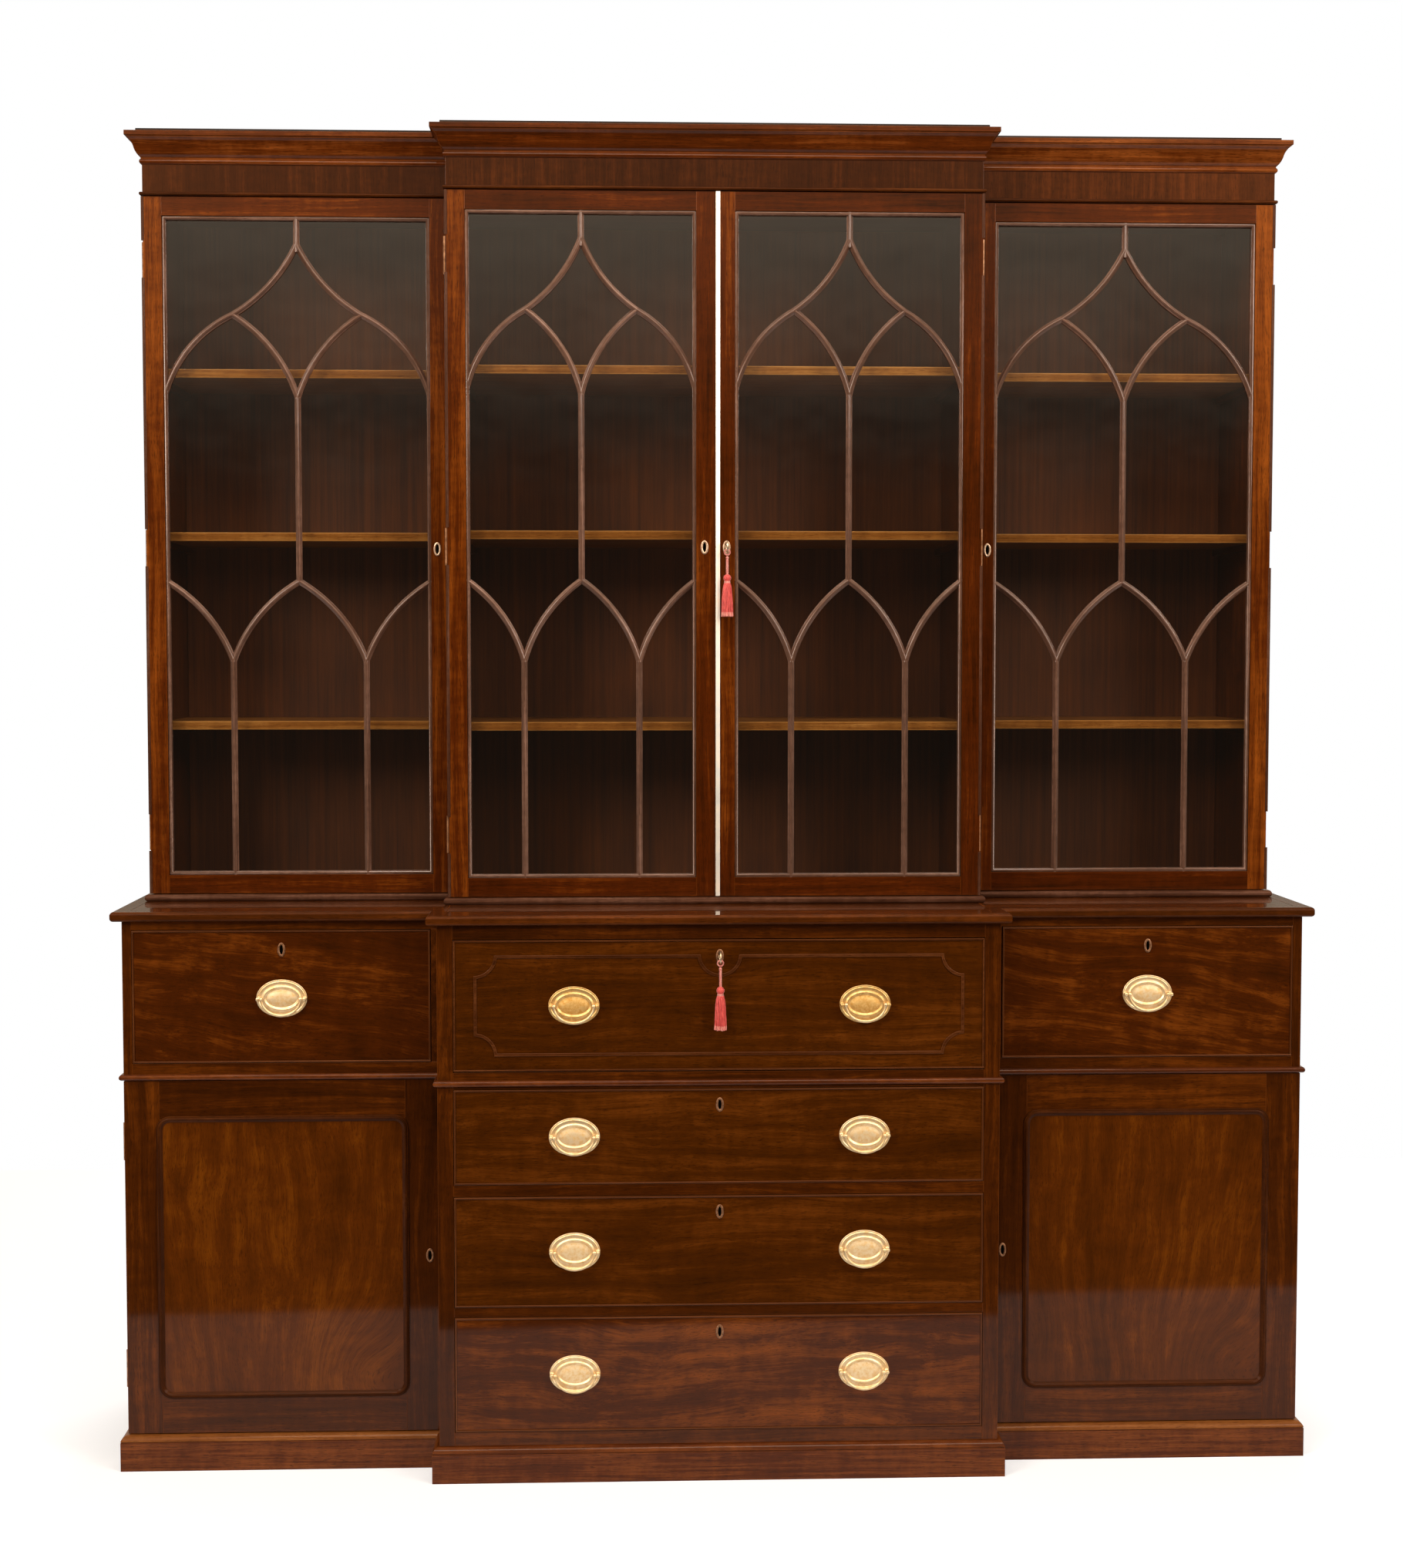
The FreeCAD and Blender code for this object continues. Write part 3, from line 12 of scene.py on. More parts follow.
import bmesh
import bpy
import numpy as np
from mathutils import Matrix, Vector

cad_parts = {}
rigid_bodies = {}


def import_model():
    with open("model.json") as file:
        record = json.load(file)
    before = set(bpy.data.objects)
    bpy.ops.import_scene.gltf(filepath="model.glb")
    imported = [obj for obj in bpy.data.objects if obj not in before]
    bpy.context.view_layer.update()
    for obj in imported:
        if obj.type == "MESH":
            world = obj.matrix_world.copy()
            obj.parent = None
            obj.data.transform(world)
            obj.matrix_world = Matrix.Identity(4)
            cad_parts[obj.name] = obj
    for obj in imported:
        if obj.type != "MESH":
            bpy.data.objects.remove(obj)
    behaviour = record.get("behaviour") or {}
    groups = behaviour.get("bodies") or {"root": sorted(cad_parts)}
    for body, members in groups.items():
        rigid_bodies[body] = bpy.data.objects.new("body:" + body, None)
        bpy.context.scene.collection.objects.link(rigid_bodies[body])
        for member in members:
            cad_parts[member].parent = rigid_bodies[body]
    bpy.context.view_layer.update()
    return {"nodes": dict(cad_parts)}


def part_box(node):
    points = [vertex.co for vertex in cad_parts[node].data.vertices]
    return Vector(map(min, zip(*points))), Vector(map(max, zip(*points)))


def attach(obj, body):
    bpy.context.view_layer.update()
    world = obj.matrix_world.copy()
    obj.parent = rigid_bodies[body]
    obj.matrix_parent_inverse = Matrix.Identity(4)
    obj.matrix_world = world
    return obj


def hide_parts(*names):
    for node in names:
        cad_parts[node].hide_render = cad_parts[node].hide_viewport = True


for startup_object in list(bpy.data.objects):
    bpy.data.objects.remove(startup_object)
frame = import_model()

LOG = logging.getLogger("bookcase")
MM = 0.001
FULL_TURN = 2 * math.pi
X_AXIS, Y_AXIS, Z_AXIS = Vector((1, 0, 0)), Vector((0, 1, 0)), Vector((0, 0, 1))
ROOT = "root"
Node = bpy.types.Node
Adder = Callable[..., Node]
Settings = dict[str, object]
# What each mesh tells its finish: the place in the grain, the board's tone, and the eased arrises,
# made lighter partly for wear and partly as a painted highlight
GRAIN, TONE, WEAR_AND_HIGHLIGHT = "grain", "tone", "wear"
# Edges past this angle are arrises, and faces within this angle of each other are one
ARRIS_ANGLE, FLAT_ANGLE = math.radians(35), math.radians(1)
# How much each layer of mahogany's figure counts in its tone
FIGURE_WEIGHTS = {"bands": 1.5, "fibres": 0.65, "mottle": 0.5, "clouds": 0.9}
# The glazed doors, each with how far its inner and its outer stile lean to a lighter tone
DOOR_LEANS = {"left_wing_door": (0.06, 0.02), "left_centre_door": (-0.2, 0.14),
              "right_centre_door": (-0.05, -0.14), "right_wing_door": (0.0, 0.3)}


class Slot(Enum):
    """The names of the record's material slots."""

    MAHOGANY = "mahogany"
    PINE = "pine"
    BRASS = "brass"
    SILK = "silk"


class Along(Enum):
    """The direction in which a board's grain runs."""

    LONGEST = None
    ACROSS = 0
    UP = 2


def linear(hex_colour: str) -> tuple[float, float, float, float]:
    """Turn an sRGB hex colour into a linear one.

    Args:
        hex_colour: the colour as "#rrggbb".

    Returns:
        Red, green, blue and an alpha of 1.
    """
    parts = [int(hex_colour[i:i + 2], 16) / 255 for i in (1, 3, 5)]
    red, green, blue = (p / 12.92 if p <= 0.04045 else ((p + 0.055) / 1.055) ** 2.4 for p in parts)
    return red, green, blue, 1.0


def add_node(tree: bpy.types.NodeTree, kind: str, inputs: dict | None = None,
             **settings: object) -> Node:
    """Add one shader node with its settings and links.

    Args:
        tree: the tree that takes it.
        kind: the node's type, without its "ShaderNode".
        inputs: a value, a socket or a node for each input, by name or number.
        settings: the node's own settings; stops gives a colour ramp's places and hex colours.

    Returns:
        The new node.
    """
    node = tree.nodes.new("ShaderNode" + kind)
    stops = settings.pop("stops", None)
    for name, value in settings.items():
        setattr(node, name, value)
    for name, value in (inputs or {}).items():
        source = value.outputs[0] if isinstance(value, bpy.types.Node) else value
        if isinstance(source, bpy.types.NodeSocket):
            tree.links.new(source, node.inputs[name])
        else:
            node.inputs[name].default_value = source
    if stops:
        elements = node.color_ramp.elements
        while len(elements) < len(stops):
            elements.new(0.5)
        for element, (place, colour) in zip(elements, stops):
            element.position = place
            element.color = linear(colour)
    return node


def emptied(tree: bpy.types.NodeTree) -> Adder:
    """Empty a node tree, and give what adds a node to it."""
    tree.nodes.clear()
    return partial(add_node, tree)


def new_material(name: str) -> tuple[bpy.types.Material, Adder]:
    """Make a material whose tree is empty.

    Args:
        name: the material's name.

    Returns:
        The material, and what adds a node to its tree.
    """
    material = bpy.data.materials.new(name)
    material.use_nodes = True
    return material, emptied(material.node_tree)


def placed(name: str, data: bpy.types.ID) -> bpy.types.Object:
    """Put a new object into the scene.

    Args:
        name: the object's name.
        data: its mesh, lamp or camera.

    Returns:
        The object.
    """
    made = bpy.data.objects.new(name, data)
    bpy.context.scene.collection.objects.link(made)
    return made


def ring(middle: Vector, first: Vector, second: Vector, sides: int) -> list[Vector]:
    """Give the points of an ellipse with two half axes, from the end of the first one."""
    turns = [FULL_TURN * i / sides for i in range(sides)]
    return [middle + first * math.cos(turn) + second * math.sin(turn) for turn in turns]


@dataclass(frozen=True)
class Finish:
    """What every finish has: a name, and a material that is made once."""

    name: str

    def shader(self, add: Adder) -> Node:
        """Give the shader that a kind of finish makes in its tree."""
        raise NotImplementedError(self.name)

    def material(self) -> bpy.types.Material:
        """Give the finish's material, made the first time that it's asked for.

        Returns:
            The material.
        """
        if self.name not in FINISHES:
            FINISHES[self.name], add = new_material(self.name)
            add("OutputMaterial", {"Surface": self.shader(add)})
        return FINISHES[self.name]


# The materials made so far, by the names of their finishes
FINISHES: dict[str, bpy.types.Material] = {}


@dataclass(frozen=True)
class SawnWood(Finish):
    """Sawn wood, its figure laid in each board's own grain direction, in millimetres."""

    @staticmethod
    def place(add: Adder) -> Node:
        """Give the place in the board's grain, in millimetres."""
        read = add("Attribute", attribute_name=GRAIN).outputs["Vector"]
        return add("VectorMath", {0: read, 1: (1 / MM,) * 3}, operation="MULTIPLY")

    @staticmethod
    def streaks(add: Adder, place: Node, wide: float, long: float, detail: float,
                roughness: float) -> Node:
        """Make streaks that are drawn out along the grain.

        Args:
            add: adds a node to the finish's tree.
            place: gives the place in the grain.
            wide: how wide a streak is, in millimetres.
            long: how long it is.
            detail: how many finer layers it has.
            roughness: how strong those are.

        Returns:
            The node that gives them.
        """
        shrunk = add("VectorMath", {0: place, 1: (1 / wide, 1 / wide, 1 / long)},
                     operation="MULTIPLY")
        return add("TexNoise", {
            "Vector": shrunk, "Scale": 1.0, "Detail": detail, "Roughness": roughness})

    @staticmethod
    def weigh(add: Adder, layers: Iterable[tuple[Node, float]]) -> Node:
        """Add the layers of a board's figure to its tone.

        Args:
            add: adds a node to the finish's tree.
            layers: each layer, and how much it counts.

        Returns:
            The node that gives the sum.
        """
        value = add("Attribute", attribute_name=TONE).outputs["Fac"]
        for layer, weight in layers:
            value = add("Math", {0: layer, 1: weight, 2: value}, operation="MULTIPLY_ADD")
        return value


@dataclass(frozen=True)
class Mahogany(SawnWood):
    """Sawn mahogany, grain filled, stained red-brown and French polished.

    The polish gives a clear sharp coat over a soft deep colour. Real pores are 0.2 mm wide, too
    fine to show, so they are drawn about 1 mm wide. All widths and lengths are in millimetres.
    """

    dark: str
    body: str
    light: str
    band: float = 15
    band_stretch: float = 34
    fibre: float = 2.4
    fibre_stretch: float = 46
    pore: float = 1.1
    pore_stretch: float = 13
    sway: float = 16
    sway_width: float = 120
    sway_length: float = 420
    mottle: float = 38
    mottle_stretch: float = 0.55
    cloud: float = 210
    cloud_stretch: float = 2
    contrast: float = 0.7
    gloss: float = 0.36
    soft_gloss: float = 0.16
    polish: float = 0.06

    def shader(self, add: Adder) -> Node:
        """Make the nodes of polished mahogany.

        Args:
            add: adds a node to the finish's tree.

        Returns:
            The shader.
        """
        place = self.place(add)
        drift = self.streaks(add, place, self.sway_width, self.sway_length, 2.0, 0.5)
        push = add("VectorMath", {0: drift.outputs["Color"], 1: (0.5,) * 3}, operation="SUBTRACT")
        push = add("VectorMath", {0: push, 1: (4 * self.sway, 4 * self.sway, 0)},
                   operation="MULTIPLY")
        swayed = add("VectorMath", {0: place, 1: push}, operation="ADD")
        layers = {}
        for name, source, wide, stretch, detail in (
                ("bands", swayed, self.band, self.band_stretch, 4.0),
                ("fibres", swayed, self.fibre, self.fibre_stretch, 3.0),
                ("pores", swayed, self.pore, self.pore_stretch, 1.0),
                ("mottle", swayed, self.mottle, self.mottle_stretch, 2.0),
                ("clouds", place, self.cloud, self.cloud_stretch, 2.0)):
            layers[name] = self.streaks(add, source, wide, wide * stretch, detail, 0.62)
        value = self.weigh(add, [(layers[n], weight) for n, weight in FIGURE_WEIGHTS.items()])
        middle, spread = sum(FIGURE_WEIGHTS.values()) / 2, 0.5 / self.contrast
        figure = add("MapRange", {
            "Value": value, "From Min": middle - spread, "From Max": middle + spread})
        colour = add("ValToRGB", {"Fac": figure}, stops=(
            (0.0, self.dark), (0.5, self.body), (1.0, self.light)))
        open_pores = add("MapRange", {
            "Value": layers["pores"], "From Min": 0.58, "From Max": 0.68, "To Max": 0.6})
        colour = add("MixRGB", {"Fac": open_pores, "Color1": colour, "Color2": linear(self.dark)})
        # Eased arrises mix toward the light colour: partly wear, partly a painted highlight along
        # each edge
        worn = add("Attribute", attribute_name=WEAR_AND_HIGHLIGHT).outputs["Fac"]
        rubbed = add("Math", {0: worn, 1: layers["clouds"]}, operation="MULTIPLY")
        colour = add("MixRGB", {"Fac": rubbed, "Color1": colour, "Color2": linear(self.light)})
        bump = add("Bump", {"Strength": 0.12, "Distance": 0.3 * MM, "Height": layers["fibres"]})
        rough = add("MapRange", {
            "Value": layers["clouds"], "From Min": 0.3, "From Max": 0.7,
            "To Min": 0.3, "To Max": 0.42})
        return add("BsdfPrincipled", {
            "Base Color": colour, "Roughness": rough, "Normal": bump,
            "Specular IOR Level": self.soft_gloss, "Specular Tint": linear("#ff9a58"),
            "Coat Weight": self.gloss, "Coat Roughness": self.polish})


@dataclass(frozen=True)
class LiningWood(SawnWood):
    """Plain softwood or oak inside a case, planed and left without polish.

    It looks dry and even, with straight brown lines of late wood and a soft dusty surface. The
    year rings' width is in millimetres.
    """

    dark: str
    light: str
    year_ring: float = 6
    roughness: float = 0.62

    def shader(self, add: Adder) -> Node:
        """Make the nodes of planed wood.

        Args:
            add: adds a node to the finish's tree.

        Returns:
            The shader.
        """
        place = self.place(add)
        rings, lines, clouds = (
            self.streaks(add, place, wide, long, 3.0, 0.6)
            for wide, long in ((self.year_ring, self.year_ring * 60), (1.4, 60), (160, 300)))
        value = self.weigh(add, [(rings, 0.9), (lines, 0.5), (clouds, 0.8)])
        figure = add("MapRange", {"Value": value, "From Min": 0.75, "From Max": 1.45})
        colour = add("ValToRGB", {"Fac": figure}, stops=((0.0, self.dark), (1.0, self.light)))
        bump = add("Bump", {"Strength": 0.25, "Distance": 0.4 * MM, "Height": lines})
        rough = add("MapRange", {
            "Value": clouds, "To Min": self.roughness - 0.1, "To Max": self.roughness + 0.1})
        return add("BsdfPrincipled", {
            "Base Color": colour, "Roughness": rough, "Normal": bump, "Specular IOR Level": 0.3})


@dataclass(frozen=True)
class CastMetal(Finish):
    """Cast or stamped metal: lacquered brass, steel or a blackened lock face.

    Hand polishing leaves a soft sheen with faint clouds and fine rubbing marks, whose widths are
    in millimetres.
    """

    colour: str
    worn: str
    roughness: float
    cloud: float = 9
    rub: float = 0.8

    def shader(self, add: Adder) -> Node:
        """Make the nodes of hand polished metal.

        Args:
            add: adds a node to the finish's tree.

        Returns:
            The shader.
        """
        place = add("TexCoord").outputs["Object"]
        clouds = add("TexNoise", {
            "Vector": place, "Scale": 1 / (self.cloud * MM), "Detail": 4.0, "Roughness": 0.6})
        rubs = add("TexNoise", {"Vector": place, "Scale": 1 / (self.rub * MM), "Detail": 2.0})
        colour = add("ValToRGB", {"Fac": clouds}, stops=((0.35, self.worn), (0.6, self.colour)))
        rough = add("MapRange", {
            "Value": clouds, "From Min": 0.3, "From Max": 0.7,
            "To Min": self.roughness + 0.08, "To Max": self.roughness - 0.05})
        bump = add("Bump", {"Strength": 0.1, "Distance": 0.1 * MM, "Height": rubs})
        return add("BsdfPrincipled", {
            "Base Color": colour, "Metallic": 1.0, "Roughness": rough, "Normal": bump})


@dataclass(frozen=True)
class DrawnGlass(Finish):
    """Old drawn window glass, thin and nearly clear, with slow waves in its surface.

    Light goes straight through it, and the front face alone carries the mirroring of both.
    """

    tint: str = "#fafaf6"
    wave: float = 60
    both_faces: float = 2.0

    def shader(self, add: Adder) -> Node:
        """Make the nodes of a thin pane.

        Args:
            add: adds a node to the finish's tree.

        Returns:
            The shader.
        """
        waves = add("TexNoise", {
            "Vector": add("TexCoord").outputs["Object"],
            "Scale": 1 / (self.wave * MM), "Detail": 1.0})
        bump = add("Bump", {"Strength": 0.25, "Distance": 1 * MM, "Height": waves})
        clear = add("BsdfTransparent", {"Color": linear(self.tint)})
        shine = add("BsdfGlossy", {"Color": (1, 1, 1, 1), "Roughness": 0.02, "Normal": bump})
        edge = add("Fresnel", {"IOR": 1.5})
        front = add("Math", {
            0: 1.0, 1: add("NewGeometry").outputs["Backfacing"]}, operation="SUBTRACT")
        edge = add("Math", {0: edge, 1: front}, operation="MULTIPLY")
        edge = add("Math", {0: edge, 1: self.both_faces}, operation="MULTIPLY", use_clamp=True)
        return add("MixShader", {0: edge, 1: clear, 2: shine})


@dataclass(frozen=True)
class SpunSilk(Finish):
    """Spun silk or viscose thread, dyed: saturated, with a soft sheen along each thread.

    The strands' width and length are in millimetres.
    """

    dark: str
    light: str
    strand: float = 0.9
    strand_length: float = 9

    def shader(self, add: Adder) -> Node:
        """Make the nodes of silk.

        Args:
            add: adds a node to the finish's tree.

        Returns:
            The shader.
        """
        place = add("VectorMath", {
            0: add("TexCoord").outputs["Object"],
            1: (1 / (self.strand * MM), 1 / (self.strand * MM), 1 / (self.strand_length * MM))},
            operation="MULTIPLY")
        strands = add("TexNoise", {"Vector": place, "Scale": 1.0, "Detail": 2.0})
        colour = add("ValToRGB", {"Fac": strands}, stops=((0.3, self.dark), (0.65, self.light)))
        bump = add("Bump", {"Strength": 0.4, "Distance": 0.2 * MM, "Height": strands})
        rough = add("MapRange", {"Value": strands, "To Min": 0.4, "To Max": 0.6})
        return add("BsdfPrincipled", {
            "Base Color": colour, "Roughness": rough, "Normal": bump, "Sheen Weight": 0.5,
            "Sheen Roughness": 0.4, "Specular IOR Level": 0.3})


# Plain sawn boards of the cases: an even, dark red-brown that glows softly under the polish
CASE = Mahogany("mahogany_case", "#1a0800", "#3f1a01", "#6d3508", sway=10, band=12, contrast=0.75)
# The counter's top, rubbed to a mirror: the lower ends of the doors show in it
COUNTER = Mahogany("mahogany_counter", "#1e0a00", "#471f04", "#743a0e", sway=10, band=12,
                   gloss=1.0, soft_gloss=0.05, polish=0.01)
# The counter's rounded edge, worn by sleeves to a soft sheen without a bright line
COUNTER_EDGE = Mahogany("mahogany_counter_edge", "#1e0a00", "#472004", "#713911", sway=10, band=12,
                        gloss=0.12, soft_gloss=0.1, polish=0.3)
# Straight grained veneer on the drawers: quiet long streaks across the front
CALM_VENEER = Mahogany("mahogany_calm_veneer", "#1e0b00", "#421d00", "#6c370c", sway=18,
                       band_stretch=30, contrast=0.65)
# Figured veneer on the deep and lowest drawers: light and dark patches along slanting streaks; on
# the lowest drawer its paler, stronger streaks are partly painted light from the floor
LIVELY_VENEER = Mahogany("mahogany_lively_veneer", "#200b00", "#421a01", "#7d3f0e", band=22,
                         sway_length=300, band_stretch=14, mottle=60, contrast=0.8)
# Quarter sawn stiles of the glazed doors: fine upright lines, lighter where hands have rubbed
STILE = Mahogany("mahogany_stile", "#200a00", "#4a1c02", "#8a4610", band=9, sway=7)
# Flame veneer of the cupboard panels: an orange-brown feather that fans upwards
FLAME = Mahogany("mahogany_flame", "#2c1200", "#502402", "#783f07", band=20, band_stretch=11,
                 sway=20, sway_width=170, sway_length=330, mottle=45)
# Cross-grained veneer of the frieze, nearly matt with age: short upright streaks
CROSSBAND = Mahogany("mahogany_crossband", "#170802", "#301404", "#54270c", band=9, sway=3,
                     mottle=24, gloss=0.25)
# Mouldings worked with a plane: the grain runs along them and their noses catch the light
MOULDING = Mahogany("mahogany_moulding", "#1f0a01", "#4c1f04", "#84461a", band=6, sway=3,
                    gloss=0.35)
# Thin beads and applied mouldings, their noses a little paler than the veneer: partly rubbed, partly
# a painted highlight on their eased arrises
BEAD = Mahogany("mahogany_bead", "#1f0b02", "#43200a", "#693c1e", band=6, sway=3, polish=0.16)
# The plinth's moulded cap: a warm light brown, painted light from above on its upward curve
CAP = Mahogany("mahogany_cap", "#40200a", "#6d3c15", "#8f582a", band=6, sway=3, gloss=0.3,
               polish=0.16)
# Mouldings round the cupboard panels and under the frieze, dulled where dust has settled
PANEL_BEAD = Mahogany("mahogany_panel_moulding", "#180800", "#371703", "#5d300e", band=6, sway=3,
                      gloss=0.1, soft_gloss=0.1, polish=0.3)
# Slender glazing bars and beads in a pale pink-brown: painted highlight, standing in for the bright
# shine along their rounded fronts
ASTRAGAL = Mahogany("mahogany_astragal", "#2f1c14", "#5c4033", "#977262", band=5, sway=2,
                    mottle=30, gloss=1.0, polish=0.14)
# The doors' hinged edges and the bead below them: the bars' pink-brown, darker and dull, a painted
# highlight along these arrises
EDGE_BEAD = Mahogany("mahogany_edge_bead", "#22110a", "#46291b", "#755140", band=5, sway=2,
                     mottle=30, gloss=0.12, soft_gloss=0.1, polish=0.35)
# Inside the secretaire, away from the light: the same wood, browner and with less polish
INTERIOR = Mahogany("mahogany_interior", "#241004", "#46220a", "#70421a", band=14, contrast=1.0,
                    gloss=0.2)
# Shelves in plain sawn mahogany, coloured a honey brown all over: painted light, standing in for the
# light on their front edges
SHELF = Mahogany("mahogany_shelf", "#4e2708", "#82501f", "#b68145", band=7, sway=4, gloss=0.25)
# Back boards in softwood, stained brown and left dry: dull, with faint upright lines
BACK = LiningWood("stained_deal", "#3c1803", "#6a3403", year_ring=9)
# Drawer linings in oak, planed and dry: pale brown with fine lines
LINING = LiningWood("planed_oak", "#7a5a35", "#b18c5c", year_ring=5)
# Dust boards and plinth bearers in softwood, planed and dry: pale and yellowish
DEAL = LiningWood("planed_deal", "#8a6540", "#bb9467", year_ring=7)
# Top boards in softwood, blackened by age and dust: nearly black along their edge
TOP_DEAL = LiningWood("aged_deal", "#150d08", "#2c1c12", year_ring=8, roughness=0.8)
# Stamped handle brass, lacquered: a creamy yellow with a soft broad shine
BRASS = CastMetal("lacquered_brass", "#ecd6b0", "#dfbe8b", 0.46)
# The matted ground inside each handle plate's ring: stippled by the stamp, bright and soft
GROUND_BRASS = CastMetal("matted_brass", "#f2deba", "#e6c68f", 0.58, cloud=7)
# Handle plates of the fall, their lacquer yellowed: a deeper gold
GOLDEN_BRASS = CastMetal("golden_brass", "#e0be82", "#c89d5f", 0.46)
# The matted ground of those plates: the same gold, a little brighter
GOLDEN_GROUND = CastMetal("matted_golden_brass", "#edc883", "#d5a457", 0.58, cloud=7)
# The drawn brass strip between the doors, polished often: coloured nearly white all over, a painted
# highlight for its bright shine
HIGHLIGHT_BRASS = CastMetal("brass_strip_painted_highlight", "#fffffb", "#fff7ec", 0.6, cloud=30)
# Keyhole rims, their lacquer gone: a pale pinkish brass
RIM_BRASS = CastMetal("worn_brass_rim", "#d9bda4", "#a48770", 0.45, cloud=4)
# The same rims on the drawers and cupboards, dulled to the tone of the wood
DULL_BRASS = CastMetal("dull_brass_rim", "#a1785c", "#68462f", 0.5, cloud=4)
# Butt hinges in old brass, tarnished, coloured like the pink-brown beads beside them so that the
# painted highlight along the hinged edge runs on over the knuckles
HINGE_BRASS = CastMetal("tarnished_brass", "#a97c5c", "#75523a", 0.5, cloud=12)
# Filed steel keys, worn bright
STEEL = CastMetal("key_steel", "#e4d2ba", "#b39c80", 0.42)
# Near-black on every face inside a keyhole: painted shade, standing in for the shade in the hole and
# the blackened iron of the lock deep inside
KEYHOLE_SHADE = CastMetal("keyhole_painted_shade", "#1f1a16", "#120e0b", 0.5)
# Drawn window glass of the doors: clear, with a faint wavering mirror of the room's light
PANE = DrawnGlass("drawn_glass")
# Silk of the tassels' skirts and knobs, dyed coral: bright where the light strikes it
CORAL_SILK = SpunSilk("coral_silk", "#b3262a", "#e8635c")
# The ends of the skirts' threads, frayed and faded to a pale coral
FRINGE_SILK = SpunSilk("fringe_silk", "#cf4a48", "#f0a79a")
# Cords, loops and bindings, rubbed and faded: a dusty pink
BLUSH_SILK = SpunSilk("blush_silk", "#b9484a", "#e9a79b")


@dataclass
class Solid:
    """One closed solid of a CAD node, such as a board, with its corners and its box."""

    corners: dict[int, Vector]
    faces: list[tuple[int, ...]]
    low: Vector = field(init=False)
    high: Vector = field(init=False)

    def __post_init__(self) -> None:
        """Work out the solid's box."""
        places = np.array(list(self.corners.values()))
        self.low, self.high = Vector(places.min(0)), Vector(places.max(0))

    @property
    def size(self) -> Vector:
        """The solid's width, depth and height."""
        return self.high - self.low

    @property
    def centre(self) -> Vector:
        """The middle of the solid's box."""
        return (self.high + self.low) / 2


def solids_of(node: str) -> list[Solid]:
    """Part a CAD node into its closed solids, in the order in which they're stored.

    Args:
        node: the CAD node's name.

    Returns:
        Its solids, each with its own corners.
    """
    mesh = frame["nodes"][node].data
    places = np.empty(len(mesh.vertices) * 3, np.float32)
    mesh.vertices.foreach_get("co", places)
    places = places.reshape(-1, 3)
    _, first, welded = np.unique(places, axis=0, return_index=True, return_inverse=True)
    welded = welded.ravel()
    found, faces, open_edges = [], [], set()
    for polygon in mesh.polygons:
        corners = tuple(int(welded[i]) for i in polygon.vertices)
        if len(set(corners)) < len(corners):
            continue
        faces.append(corners)
        for edge in zip(corners, corners[1:] + corners[:1]):
            open_edges ^= {(min(edge), max(edge))}
        if not open_edges:
            used = {i for face in faces for i in face}
            found.append(Solid({i: Vector(places[first[i]]) for i in used}, faces))
            faces = []
    if faces:
        raise RuntimeError(f"{node} has an open solid")
    return found


